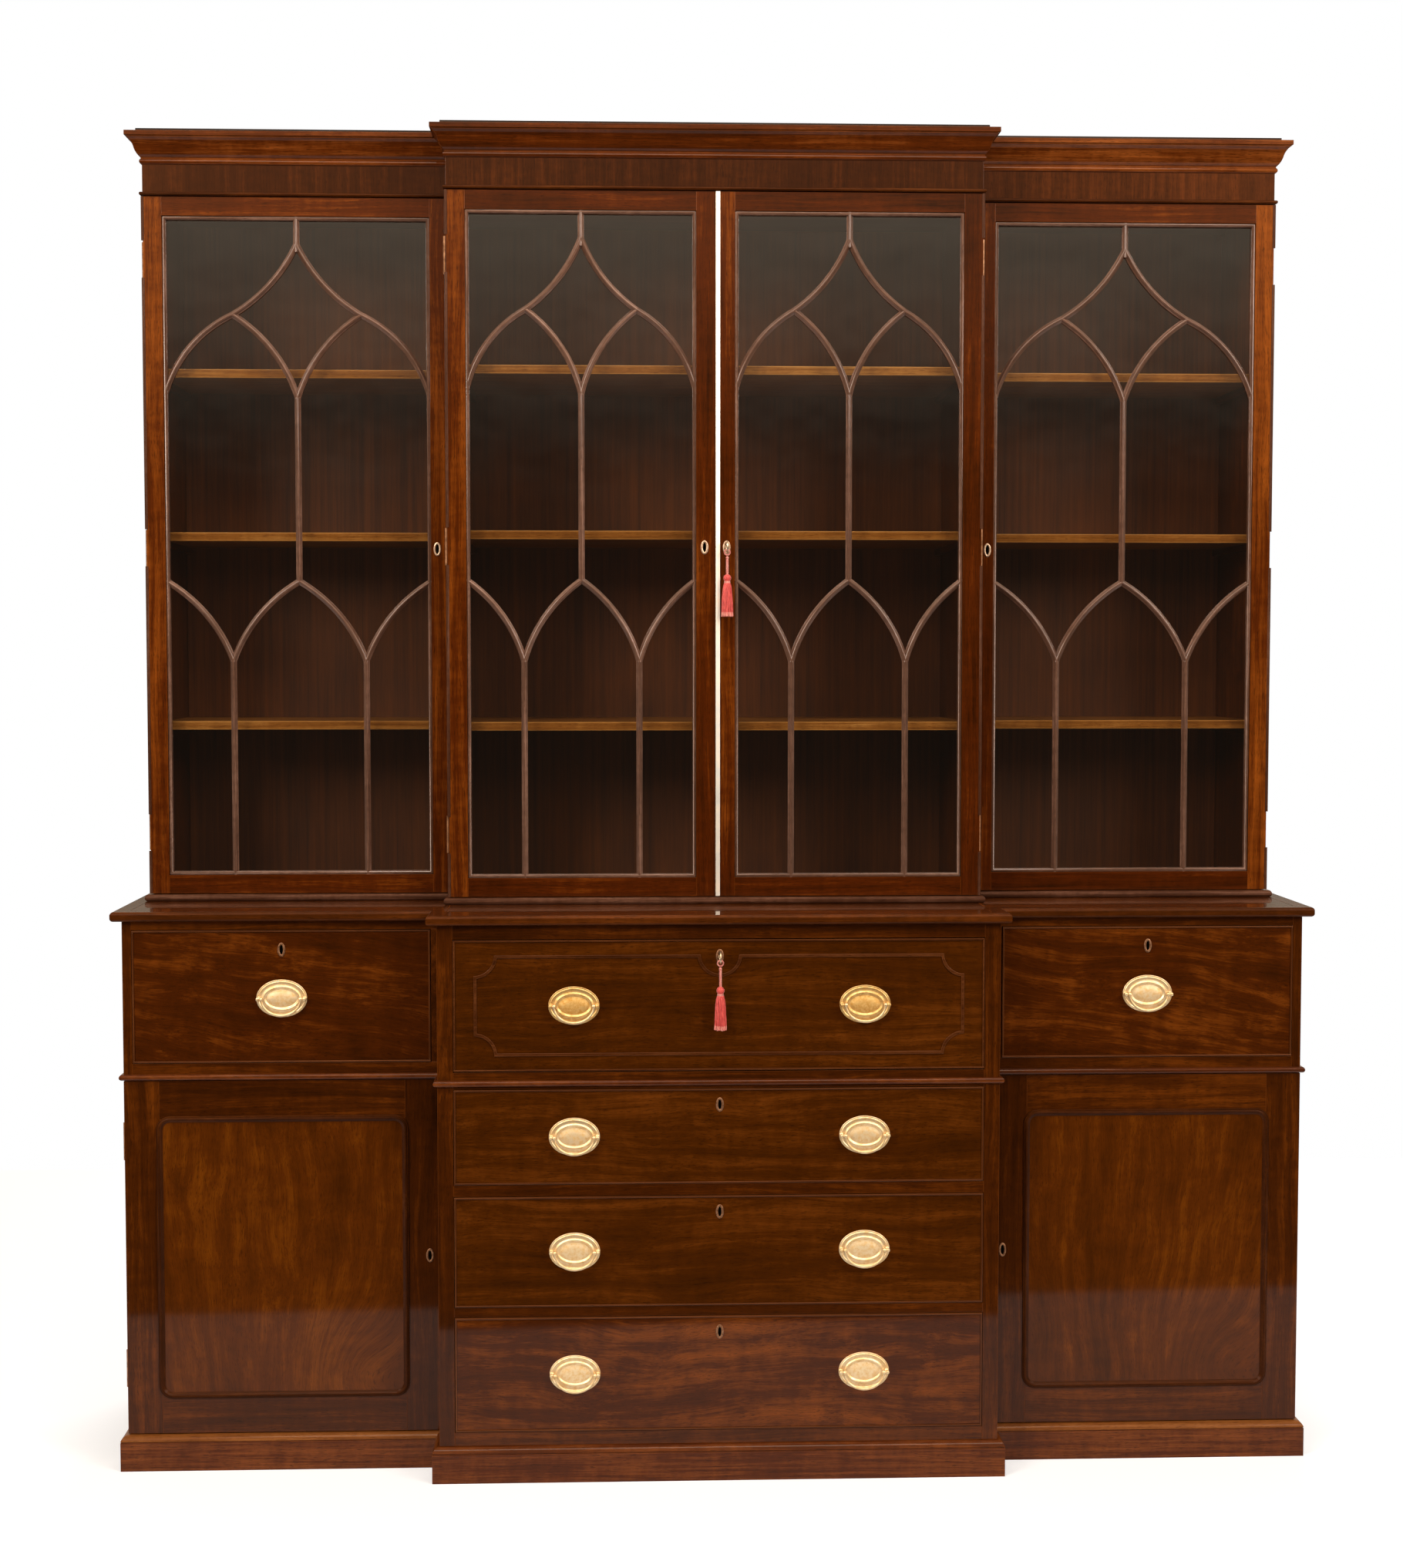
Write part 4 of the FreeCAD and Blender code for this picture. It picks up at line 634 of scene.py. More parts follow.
class Shape:
    """The corners, faces and finishes of one piece, gathered part by part, in metres."""

    def __init__(self, *finishes: Finish) -> None:
        """Start an empty piece.

        Args:
            finishes: the finishes that its faces take, by number.
        """
        self.finishes = finishes
        self.mesh = bmesh.new()
        self.grain = self.mesh.verts.layers.float_vector.new(GRAIN)
        self.tone = self.mesh.faces.layers.float.new(TONE)
        self.wear = self.mesh.faces.layers.float.new(WEAR_AND_HIGHLIGHT)

    def board(self, solid: Solid, finish: int | Callable[[Vector], int] = 0,
              along: Along = Along.LONGEST, arris: float = 0.7, lean: float = 0.0,
              outline_only: bool = False, slant: float = 0.0,
              figure: Callable[[float, float], float] | None = None, cells: int = 36) -> None:
        """Add a board of the CAD frame with its arrises eased and its grain laid.

        Args:
            solid: the board.
            finish: the number of its finish, or what gives it for the middle of a face.
            along: the direction of its grain.
            arris: how far its edges are rounded, in millimetres.
            lean: how far the tone leans to light, from -1 to 1.
            outline_only: leave sharp what isn't on the board's box, such as a keyhole.
            slant: how far the grain leans from its direction, in degrees.
            figure: how far the grain is pushed aside, as a share of the board's width, at a
                place given in shares of its width and length from its middle.
            cells: how many cells a board with such a figure is parted into each way.
        """
        made = bmesh.new()
        corners = {i: made.verts.new(place) for i, place in solid.corners.items()}
        for face in solid.faces:
            made.faces.new([corners[i] for i in face])
        bmesh.ops.recalc_face_normals(made, faces=made.faces)
        bmesh.ops.dissolve_limit(made, angle_limit=FLAT_ANGLE, verts=made.verts, edges=made.edges)
        sizes = list(solid.size)
        order = sorted(range(3), key=lambda axis: sizes[axis])
        if along is not Along.LONGEST:
            order.remove(along.value)
            order.append(along.value)
        deep, across, length = order
        reach = min(arris * MM, 0.4 * sizes[deep])
        eased = [edge for edge in made.edges if self.is_arris(edge, solid, outline_only, 3 * reach)]
        # The bevelled faces are flagged for a lighter colour: partly wear, partly a painted
        # highlight on each eased arris
        worn = set()
        if eased and reach > 0:
            worn = set(bmesh.ops.bevel(
                made, geom=eased, offset=reach, offset_type="OFFSET", segments=2, profile=0.5,
                affect="EDGES", clamp_overlap=True)["faces"])
        draw = random.Random(zlib.crc32(repr([round(v, 4) for v in solid.centre]).encode()))
        shift = Vector([draw.uniform(-3, 3) for _ in range(3)])
        tone = draw.uniform(-0.1, 0.1) + lean
        if figure:
            bmesh.ops.subdivide_edges(made, edges=made.edges, cuts=cells - 1, use_grid_fill=True)
        lean_cos, lean_sin = math.cos(math.radians(slant)), math.sin(math.radians(slant))
        copies = {}
        for corner in made.verts:
            copy = copies[corner] = self.mesh.verts.new(corner.co)
            local = corner.co - solid.centre
            wide, tall = local[across], local[length]
            if figure:
                wide += sizes[across] * figure(wide / sizes[across], tall / sizes[length])
            copy[self.grain] = Vector((wide * lean_cos - tall * lean_sin, local[deep],
                                       wide * lean_sin + tall * lean_cos)) + shift
        for face in made.faces:
            copy = self.mesh.faces.new([copies[corner] for corner in face.verts])
            copy[self.tone] = tone
            copy[self.wear] = 1.0 if face in worn else 0.0
            copy.material_index = (
                finish(face.calc_center_median()) if callable(finish) else finish)
        made.free()

    @staticmethod
    def is_arris(edge: bmesh.types.BMEdge, solid: Solid, outline_only: bool,
                 shortest: float) -> bool:
        """Tell whether an edge of a board is an arris that a hand plane eases.

        Args:
            edge: the edge.
            solid: its board.
            outline_only: count only edges that lie on two sides of the board's box.
            shortest: the least length of an arris.

        Returns:
            True if the edge is to be rounded.
        """
        if len(edge.link_faces) != 2 or edge.calc_length() < shortest:
            return False
        if edge.calc_face_angle() < ARRIS_ANGLE:
            return False
        if not outline_only:
            return True
        touching = 0
        for bound in (solid.low, solid.high):
            for axis in range(3):
                touching += all(abs(v.co[axis] - bound[axis]) < 0.01 * MM for v in edge.verts)
        return touching >= 2

    def loft(self, rings: Sequence[Sequence[Vector]], finish: int = 0, closed: bool = False,
             capped: bool = True, tone: float = 0.0,
             grain: Callable[[int, int], Vector] | None = None) -> None:
        """Join rings of equal count into a skin.

        Args:
            rings: the rings of corners, in order.
            finish: the number of the finish.
            closed: join the last ring to the first.
            capped: close both ends with a face.
            tone: how far the tone leans to light.
            grain: the grain's place for a ring and a corner.
        """
        rows = []
        for i, ring in enumerate(rings):
            row = [self.mesh.verts.new(place) for place in ring]
            for j, corner in enumerate(row):
                corner[self.grain] = grain(i, j) if grain else ring[j]
            rows.append(row)
        faces = []
        pairs = list(zip(rows, rows[1:])) + ([(rows[-1], rows[0])] if closed else [])
        for low, high in pairs:
            for j in range(len(low)):
                k = (j + 1) % len(low)
                faces.append(self.mesh.faces.new((low[j], low[k], high[k], high[j])))
        if capped and not closed:
            faces.append(self.mesh.faces.new(rows[0][::-1]))
            faces.append(self.mesh.faces.new(rows[-1]))
        for face in faces:
            face.material_index = finish
            face[self.tone] = tone

    def piece(self, name: str, body: str, slot: Slot, replaced: Iterable[str] = (),
              crease: float = 28, weighted: bool = False) -> bpy.types.Object:
        """Turn what was gathered into a finished piece that rides on its body.

        Args:
            name: the piece's name.
            body: the body that it rides on.
            slot: the record's slot; not used.
            replaced: the CAD nodes that it stands for.
            crease: the angle past which an edge stays sharp, in degrees.
            weighted: keep wide faces flat beside their eased edges.

        Returns:
            The new object.
        """
        bmesh.ops.recalc_face_normals(self.mesh, faces=self.mesh.faces)
        mesh = bpy.data.meshes.new(name)
        self.mesh.to_mesh(mesh)
        self.mesh.free()
        for finish in self.finishes:
            mesh.materials.append(finish.material())
        mesh.shade_smooth()
        mesh.set_sharp_from_angle(angle=math.radians(crease))
        made = placed(name, mesh)
        if weighted:
            flat = made.modifiers.new("flat_faces", "WEIGHTED_NORMAL")
            flat.keep_sharp = True
            flat.weight = 90
        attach(made, body)
        replaced = list(replaced)
        if replaced:
            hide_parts(*replaced)
        LOG.info("%s: %d faces on %s", name, len(mesh.polygons), body)
        return made


def arc(start: Vector, end: Vector, bow_share: float, steps: int) -> list[Vector]:
    """Points of an arc in an upright plane, bowed to the left of its chord.

    Args:
        start: its first point.
        end: its last point.
        bow_share: how far it bows, as a share of the chord; 0 is straight.
        steps: how many stretches it has.

    Returns:
        The points, ends included.
    """
    chord = end - start
    if not bow_share:
        return [start, end]
    aside = Vector((-chord.z, 0, chord.x)).normalized()
    bow = chord.length * bow_share
    radius = (chord.length ** 2 / 4 + bow ** 2) / (2 * bow)
    centre = (start + end) / 2 - aside * (radius - bow)
    first, last = start - centre, end - centre
    turn = math.atan2(last.z * first.x - last.x * first.z, first.dot(last))
    points = []
    for i in range(steps + 1):
        angle = turn * i / steps
        cos, sin = math.cos(angle), math.sin(angle)
        points.append(centre + Vector((first.x * cos - first.z * sin, first.y,
                                       first.x * sin + first.z * cos)))
    return points


def moulded(shape: Shape, path: Sequence[Vector], profile: Sequence[tuple[float, float]],
            closed: bool = False, finish: int = 0) -> None:
    """Run a moulding along a path in an upright plane that faces the front.

    Args:
        shape: the piece that takes it.
        path: the path's points.
        profile: for each corner of the section, its place to the left of the path and its
            depth behind it, in metres.
        closed: join the end to the start.
        finish: the number of its finish.
    """
    count = len(path)
    rings, run, place = [], [], 0.0
    for i, point in enumerate(path):
        before = path[i - 1] if i or closed else None
        after = path[(i + 1) % count] if i + 1 < count or closed else None
        sides = [Vector((-(b - a).z, 0, (b - a).x)).normalized()
                 for a, b in ((before, point), (point, after)) if a is not None and b is not None]
        side = sum(sides, Vector()).normalized()
        side /= max(side.dot(sides[0]), 0.2)
        rings.append([point + side * out + Vector((0, deep, 0)) for out, deep in profile])
        place += (point - path[i - 1]).length if i else 0
        run.append(place)
    shape.loft(rings, finish, closed=closed, capped=not closed,
               grain=lambda i, j: Vector((profile[j][0], profile[j][1], run[i] + path[0].x)))


def turned(shape: Shape, base: Vector, axis: Vector, profile: Sequence[tuple[float, float]],
           sides: int = 24, finish: int = 0) -> None:
    """Add a turned form.

    Args:
        shape: the piece that takes it.
        base: where its axis starts.
        axis: the direction of its axis.
        profile: its radius and its distance along the axis, in millimetres, from end to end.
        sides: how many sides it has.
        finish: the number of its finish.
    """
    first = axis.orthogonal().normalized() * MM
    second = axis.cross(first)
    shape.loft([ring(base + axis * along * MM, first * radius, second * radius, sides)
                for radius, along in profile], finish)


def oval(centre: Vector, board: float, half_wide: float, half_tall: float,
         section: Sequence[tuple[float, float]], sides: int) -> list[list[Vector]]:
    """Give an oval fitting's rings, by how far each is within its outline and off its board."""
    return [ring(Vector((centre.x, board - rise, centre.z)), X_AXIS * (half_wide - inset),
                 Z_AXIS * (half_tall - inset), sides) for inset, rise in section]


def in_recess(place: Vector, solid: Solid, beside: float = 0.2) -> bool:
    """Tell whether a face's middle lies inside its board's box, as in a keyhole.

    Args:
        place: the face's middle.
        solid: the board.
        beside: how far it lies at least within the board's outline, in millimetres.

    Returns:
        True away from all six sides of the box.
    """
    gaps = (beside * MM, 0.2 * MM, beside * MM)
    return all(low + gap < value < high - gap
               for low, value, high, gap in zip(solid.low, place, solid.high, gaps))


def joinery(node: str, body: str, name: str, finishes: Sequence[Finish],
            rule: Callable[[Solid], Settings], slot: Slot = Slot.MAHOGANY) -> None:
    """Dress every board of a CAD node.

    Args:
        node: the node.
        body: the body that it rides on.
        name: the new piece's name.
        finishes: the finishes, by number.
        rule: gives what Shape.board takes for one board.
        slot: the record's slot.
    """
    shape = Shape(*finishes)
    for solid in solids_of(node):
        shape.board(solid, **rule(solid))
    shape.piece(name, body, slot, [node], weighted=True)


@dataclass
class Carcase:
    """Both cases with their plinth, counter, mouldings, frieze, cornice and loose shelves."""

    thin: float = 12 * MM
    pale_side: float = 480 * MM
    pale_lean: float = 0.36
    cap_height: float = 10 * MM
    centre_half: float = 500 * MM
    high_bead: float = 2000 * MM
    sill_front: float = 7 * MM
    sill_under: float = 12 * MM
    sill_gap: float = 0.2 * MM
    sill_deep: float = 16 * MM

    def build(self) -> None:
        """Make every fixed wooden piece."""
        for node, name, finishes, rule in (
                ("base_carcase", "lower_case_boards", (CASE, DEAL), self.case_board),
                ("upper_carcase", "upper_case_boards", (CASE, DEAL), self.case_board),
                ("plinth", "plinth_boards", (MOULDING, DEAL, CAP), self.plinth_board),
                ("counter_top", "counter_boards", (COUNTER_EDGE, COUNTER), self.counter_board),
                ("bead_mouldings", "bead_runs", (MOULDING, EDGE_BEAD, PANEL_BEAD), self.bead),
                ("frieze", "frieze_boards", (CROSSBAND,),
                 lambda board: {"along": Along.UP, "lean": self.paler(board)}),
                ("cornice", "cornice_runs", (MOULDING, TOP_DEAL), self.cornice_board),
                # The shelves' honey brown is painted light on their front edges
                ("bookshelves", "shelf_boards", (SHELF,), lambda board: {"arris": 2.0})):
            joinery(node, ROOT, name, finishes, rule)
        joinery("back_boards", ROOT, "backing_boards", (BACK,),
                lambda board: {"along": Along.UP, "arris": 1.2}, Slot.PINE)
        self.sills()

    def sills(self) -> None:
        """Close the slot behind the plinth's front boards, under each cupboard door."""
        shape = Shape(CASE)
        low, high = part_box("left_cupboard_door")
        front, top = low.y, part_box("plinth")[1].z
        for side in (-1, 1):
            ends = sorted((side * -high.x, side * -low.x))
            section = [(front + self.sill_front, top - self.sill_gap),
                       (high.y + self.sill_under, top - self.sill_gap),
                       (high.y + self.sill_under, top - self.sill_deep),
                       (front + self.sill_front, top - self.sill_deep)]
            shape.loft([[Vector((x, y, z)) for y, z in section] for x in ends],
                       grain=lambda i, j: Vector((section[j][0], section[j][1], ends[i])))
        shape.piece("cupboard_sills", ROOT, Slot.MAHOGANY)

    def case_board(self, solid: Solid) -> Settings:
        """Give a dust board of a case its deal, and the other boards their mahogany."""
        thin = solid.size.z < self.thin and solid.size.x > 20 * solid.size.z
        return {"finish": int(thin and solid.low.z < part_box("counter_top")[0].z)}

    def plinth_board(self, solid: Solid) -> Settings:
        """Give a board of the plinth its finish.

        Args:
            solid: the board.

        Returns:
            Deal for a bearer, and mahogany for the rest, with the cap on the wings painted paler, as
            painted light from above.
        """
        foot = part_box("plinth")[1].z - self.cap_height
        bearer = int(solid.low.y > 0 and solid.size.x < 2 * solid.size.y)
        # The cap on the wings takes the light brown that is painted light from above
        return {"lean": 0.1, "finish": lambda place: (
            2 if place.z > foot and abs(place.x) > self.centre_half else bearer)}

    def counter_board(self, solid: Solid) -> Settings:
        """Give a board of the counter its mirror on top and its soft edge."""
        top = solid.high.z - 0.1 * MM
        return {"finish": lambda place: int(place.z > top), "arris": 1.0}

    def bead(self, solid: Solid) -> Settings:
        """Give the waist's bead its polish, and dull those under the doors and the frieze."""
        # The beads under the doors take the dull pink-brown that is painted highlight along their
        # arris
        above = solid.high.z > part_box("counter_top")[1].z
        return {"finish": above + (solid.high.z > self.high_bead), "arris": 0.5}

    def cornice_board(self, solid: Solid) -> Settings:
        """Give a top board its deal, and a run of the cornice its mahogany."""
        top = solid.size.z < self.thin and solid.size.y > 10 * solid.size.z
        return {"finish": int(top), "arris": 0.5, "lean": 1.2 * self.paler(solid) - 0.04}

    def paler(self, solid: Solid) -> float:
        """Give the lean to a lighter tone of the right wing's frieze and cornice."""
        return self.pale_lean if solid.centre.x > self.pale_side else 0.0


@dataclass
class GlazedDoor:
    """A glazed door: its frame, its astragal bars with their border, its pane and its brass."""

    label: str
    inner_lean: float
    outer_lean: float
    rail_lean: float = -0.16
    bar_half: float = 5.5
    border: float = 7
    edge_bead: float = 2.6
    hinge_length: float = 66
    quarter_share: float = 0.249
    lower_fork_share: float = 0.328
    lower_arch_share: float = 0.4495
    upper_spring_share: float = 0.728
    apex_across_share: float = 0.259
    apex_share: float = 0.853
    crown_share: float = 0.959
    lower_bow_share: float = 0.088
    arch_bow_share: float = 0.112
    inner_bow_share: float = 0.09
    ogee_bow_share: float = -0.075
    steps: int = 22

    def build(self) -> None:
        """Make the door's pieces."""
        joinery(f"{self.label}_frame", self.label, f"{self.label}_stiles_and_rails",
                (STILE, KEYHOLE_SHADE), self.frame_board)
        self.bars()
        self.hinge_bead()
        dress(f"{self.label}_glass", PANE)
        Brassware(f"{self.label}_brassware", self.label).build()

    def frame_board(self, solid: Solid) -> Settings:
        """Give a stile or a rail its tone, and its keyhole's faces a near-black painted shade.

        Args:
            solid: the board.

        Returns:
            What Shape.board takes.
        """
        low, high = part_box(f"{self.label}_frame")
        from_middle = abs(solid.centre.x) - abs(low.x + high.x) / 2
        lean = self.outer_lean if from_middle > 0 else self.inner_lean
        if solid.size.x > solid.size.z:
            lean = self.rail_lean
        return {"finish": lambda place: int(in_recess(place, solid, 1)), "arris": 0.3,
                "outline_only": True, "lean": lean}

    def hinge_bead(self) -> None:
        """Run a slender bead up the hinged edge, parted at the hinges' knuckles."""
        low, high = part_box(f"{self.label}_frame")
        edge = high.x if high.x > -low.x else low.x
        inward = -1 if edge > 0 else 1
        brass = [solid for solid in solids_of(f"{self.label}_brassware")
                 if 0.5 * self.hinge_length * MM < solid.size.z < 1.5 * self.hinge_length * MM]
        stops = sorted((solid.low.z, solid.high.z) for solid in brass)
        starts = [low.z] + [top for _, top in stops]
        ends = [bottom for bottom, _ in stops] + [high.z]
        # The bead takes the pink-brown of a painted highlight along the hinged edge
        shape = Shape(EDGE_BEAD)
        radius = self.edge_bead * MM
        section = [(0.0, 1.2), (-1.0, 0.9), (-1.15, 0.3), (-0.9, -0.25), (-0.4, -0.6),
                   (0.2, -0.6), (0.8, -0.25), (1.2, 0.3), (1.2, 1.2)]
        for start, end in zip(starts, ends):
            if end - start < 2 * radius:
                continue
            rings = [[Vector((edge + inward * radius * a, low.y + radius * b, level))
                      for a, b in section] for level in (start, end)]
            shape.loft(rings, grain=lambda i, j: Vector((
                section[j][0] * radius, section[j][1] * radius, (start, end)[i])))
        shape.piece(f"{self.label}_hinge_bead", self.label, Slot.MAHOGANY, crease=50)

    def bars(self) -> None:
        """Run the bars along the pattern of pointed arches and an ogee."""
        low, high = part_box(f"{self.label}_glazing_bars")
        wide, tall, deep = high.x - low.x, high.z - low.z, high.y - low.y
        # The bars and their border take the pale pink-brown that is painted highlight
        shape = Shape(ASTRAGAL)

        def at(across_share: float, up_share: float) -> Vector:
            """A point of the pattern, from its shares of the glass."""
            return Vector((low.x + wide * across_share, low.y, low.z + tall * up_share))

        half = self.bar_half * MM
        nose = [(-1, 1), (-1, 0.6), (-0.84, 0.5), (-0.6, 0.42), (-0.5, 0.2), (-0.3, 0.05),
                (0, 0), (0.3, 0.05), (0.5, 0.2), (0.6, 0.42), (0.84, 0.5), (1, 0.6), (1, 1)]
        profile = [(half * a, deep * b) for a, b in nose]
        runs = [(at(0.5, self.crown_share - 0.01), at(0.5, 1), 0),
                (at(0.5, self.lower_arch_share), at(0.5, self.upper_spring_share), 0)]
        for hand, turn in ((0, 1), (1, -1)):
            stile, middle = abs(hand - 0), abs(hand - 0.5)
            quarter, apex = abs(hand - self.quarter_share), abs(hand - self.apex_across_share)
            fork = at(quarter, self.lower_fork_share)
            peak = at(apex, self.apex_share)
            runs += [
                (at(quarter, 0), fork, 0),
                (fork, at(middle, self.lower_arch_share), turn * self.lower_bow_share),
                (fork, at(stile, self.lower_arch_share), -turn * self.lower_bow_share),
                (at(stile, self.upper_spring_share), peak, turn * self.arch_bow_share),
                (at(middle, self.upper_spring_share), peak, -turn * self.inner_bow_share),
                (peak, at(middle, self.crown_share), turn * self.ogee_bow_share),
            ]
        for start, end, bow in runs:
            path = arc(start, end, bow, self.steps)
            inside = [low.x + MM < point.x < high.x - MM for point in path]
            path[0] = path[0] + (path[0] - path[1]).normalized() * 2 * MM * inside[0]
            moulded(shape, path, profile)
        lip = self.border * MM
        edge = [(0, 0.2), (0.08, 0.08), (0.25, 0), (0.5, 0), (0.72, 0.06), (0.88, 0.22),
                (0.97, 0.45), (1, 0.7), (1, 1), (0, 1)]
        corners = [at(0, 0), at(1, 0), at(1, 1), at(0, 1)]
        moulded(shape, corners, [(lip * a, deep * b) for a, b in edge], closed=True)
        shape.piece(f"{self.label}_astragals", self.label, Slot.MAHOGANY,
                    [f"{self.label}_glazing_bars"], crease=50)


@dataclass
class Brassware:
    """The brass fittings of a CAD node: handle plates, hinge halves, keyhole rims and strips."""

    node: str
    body: str
    plate_wide: float = 60 * MM
    plate_tall: float = 50 * MM
    strip_tall: float = 300 * MM
    rim_tall: float = 30 * MM
    rim_thick: float = 3 * MM

    def build(self) -> None:
        """Model the handle plates and keyhole rims anew, and ease the other fittings."""
        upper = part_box(self.node)[0].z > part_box("counter_top")[1].z
        plate, ground = ((GOLDEN_BRASS, GOLDEN_GROUND) if self.body == "fall_front"
                         else (BRASS, GROUND_BRASS))
        shape = Shape(plate, HIGHLIGHT_BRASS, RIM_BRASS if upper else DULL_BRASS, HINGE_BRASS, ground)
        for solid in solids_of(self.node):
            size = solid.size
            if size.x > self.plate_wide and size.x > size.z > self.plate_tall:
                HandlePlate(solid.centre, solid.high.y).add(shape)
            elif size.z > self.strip_tall:
                # The strip between the doors takes the nearly white brass of a painted highlight
                shape.board(solid, 1, arris=1.2)
            elif size.z < self.rim_tall and size.y < self.rim_thick:
                KeyholeRim(solid).add(shape)
            else:
                shape.board(solid, 3, arris=0.15)
        shape.piece(f"{self.node}_fittings", self.body, Slot.BRASS, [self.node], crease=40)


@dataclass
class KeyholeRim:
    """A thin rounded brass rim let in round a keyhole."""

    solid: Solid
    band: float = 4.3
    steps: int = 40

    def add(self, shape: Shape) -> None:
        """Add the rim to a piece.

        Args:
            shape: the piece.
        """
        size, back, band = self.solid.size, self.solid.high.y, self.band * MM
        section = [(0, 0), (0.06, 0.6), (0.2, 0.92), (0.5, 1), (0.8, 0.92), (0.94, 0.6), (1, 0)]
        shape.loft(oval(self.solid.centre, back, size.x / 2, size.z / 2,
                        [(band * a, size.y * b) for a, b in section], self.steps), 2, closed=True)


@dataclass
class HandlePlate:
    """An oval stamped backplate with a raised ring, a domed middle and two turned posts."""

    centre: Vector
    board: float
    half_wide: float = 44
    half_tall: float = 33
    post_inset: float = 4
    pivot: float = 12
    pin_length: float = 9
    pin_radius: float = 1.5
    steps: int = 96

    def add(self, shape: Shape) -> None:
        """Add the plate, its posts and its pins to a piece.

        Args:
            shape: the piece.
        """
        border = [(0, 0), (0, 0.7), (0.4, 1.25), (1.2, 1.5), (2.0, 1.3), (2.5, 1.25),
                  (3.0, 1.8), (3.8, 2.1), (4.6, 1.8), (5.2, 1.2), (7, 1.15), (9.6, 1.2),
                  (10.6, 1.6), (11.4, 2.7), (12.8, 3.3), (14.2, 3.1), (15.4, 2.2), (16.2, 1.3)]
        dome = [(17.4, 0.95), (19.5, 1.15), (22, 1.7), (25, 2.2), (28, 2.45), (31, 2.55)]
        rings = oval(self.centre, self.board, self.half_wide * MM, self.half_tall * MM,
                     [(inset * MM, rise * MM) for inset, rise in border + dome], self.steps)
        shape.loft(rings[:len(border) + 1])
        shape.loft(rings[len(border):], 4)
        post = [(3.9, 0), (3.9, 2.2), (3.4, 2.9), (2.3, 3.5), (2.0, 5.5), (2.3, 8.0), (3.2, 8.9),
                (3.6, 10.2), (3.7, 12.0), (3.4, 13.3), (2.3, 14.2), (0.6, 14.5)]
        pin = [(self.pin_radius, 0), (self.pin_radius, self.pin_length)]
        half = self.half_wide - self.post_inset
        for side in (-1, 1):
            foot = Vector((self.centre.x + side * half * MM, self.board, self.centre.z))
            turned(shape, foot, -Y_AXIS, post)
            turned(shape, foot - Y_AXIS * self.pivot * MM, X_AXIS * -side, pin, 16)


@dataclass
class Bail:
    """A drop bail: a swelling bow between two eyes that turn on the pins."""

    node: str
    radius: float = 2.4
    swell: float = 0.35
    slim: float = 0.45
    eye_radius: float = 3.8
    eye_length: float = 5
    bore: float = 1.6
    steps: int = 48
    sides: int = 18
    eye_sides: int = 24

    def build(self) -> None:
        """Make the bail on its own body."""
        low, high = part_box(self.node)
        pivot = Vector(((low.x + high.x) / 2, (low.y + high.y) / 2, high.z - self.eye_radius * MM))
        half = (high.x - low.x) / 2 - self.eye_length / 2 * MM
        drop = pivot.z - low.z - (self.radius + self.swell) * MM
        shape = Shape(BRASS)
        rings = []
        for i in range(self.steps + 1):
            angle = math.pi * i / self.steps
            cos, sin = math.cos(angle), math.sin(angle)
            side = Vector((half * sin, 0, -drop * cos)).normalized().cross(Y_AXIS)
            radius = (self.radius - self.slim * cos ** 2 + self.swell * sin ** 2) * MM
            rings.append(ring(pivot + Vector((-half * cos, 0, -drop * sin)), side * radius,
                              Y_AXIS * radius, self.sides))
        shape.loft(rings)
        length, outer, bore = self.eye_length, self.eye_radius, self.bore
        section = [(bore, 0.2), (outer - 0.7, 0), (outer - 0.2, 0.3), (outer, 0.9),
                   (outer, length - 0.9), (outer - 0.2, length - 0.3), (outer - 0.7, length),
                   (bore, length - 0.2)]
        for side in (-1, 1):
            start = pivot + X_AXIS * (side * half - length / 2 * MM)
            shape.loft([ring(start + X_AXIS * along * MM, Y_AXIS * radius * MM,
                             Z_AXIS * radius * MM, self.eye_sides)
                        for radius, along in section], closed=True)
        shape.piece(f"{self.node}_bow", self.node, Slot.BRASS, [self.node], crease=40)


@dataclass
class Drawer:
    """A drawer: a veneered front with cock beads, and an oak lined box behind it."""

    label: str
    veneer: Mahogany = CALM_VENEER
    slant: float = 0
    lean: float = 0
    bead_proud: float = 2.5 * MM
    bead_thick: float = 5 * MM
    front_thick: float = 20 * MM

    def build(self) -> None:
        """Make the drawer's wood and its brass."""
        joinery(self.label, self.label, f"{self.label}_boards",
                (self.veneer, LINING, KEYHOLE_SHADE, BEAD), self.board)
        Brassware(f"{self.label}_brassware", self.label).build()

    def board(self, solid: Solid) -> Settings:
        """Tell a board of the box, a bead and the veneered front apart.

        Args:
            solid: the board.

        Returns:
            What Shape.board takes.
        """
        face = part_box(self.label)[0].y + self.bead_proud
        if solid.low.y > face + self.front_thick - MM:
            return {"finish": 1, "arris": 0.8}
        if solid.size.y < self.bead_thick:
            return {"finish": 3, "arris": 1.15}
        # Faces inside the keyhole take a near-black painted shade
        return {"finish": lambda place: 2 * in_recess(place, solid), "along": Along.ACROSS,
                "arris": 0.4, "outline_only": True, "slant": self.slant, "lean": self.lean}


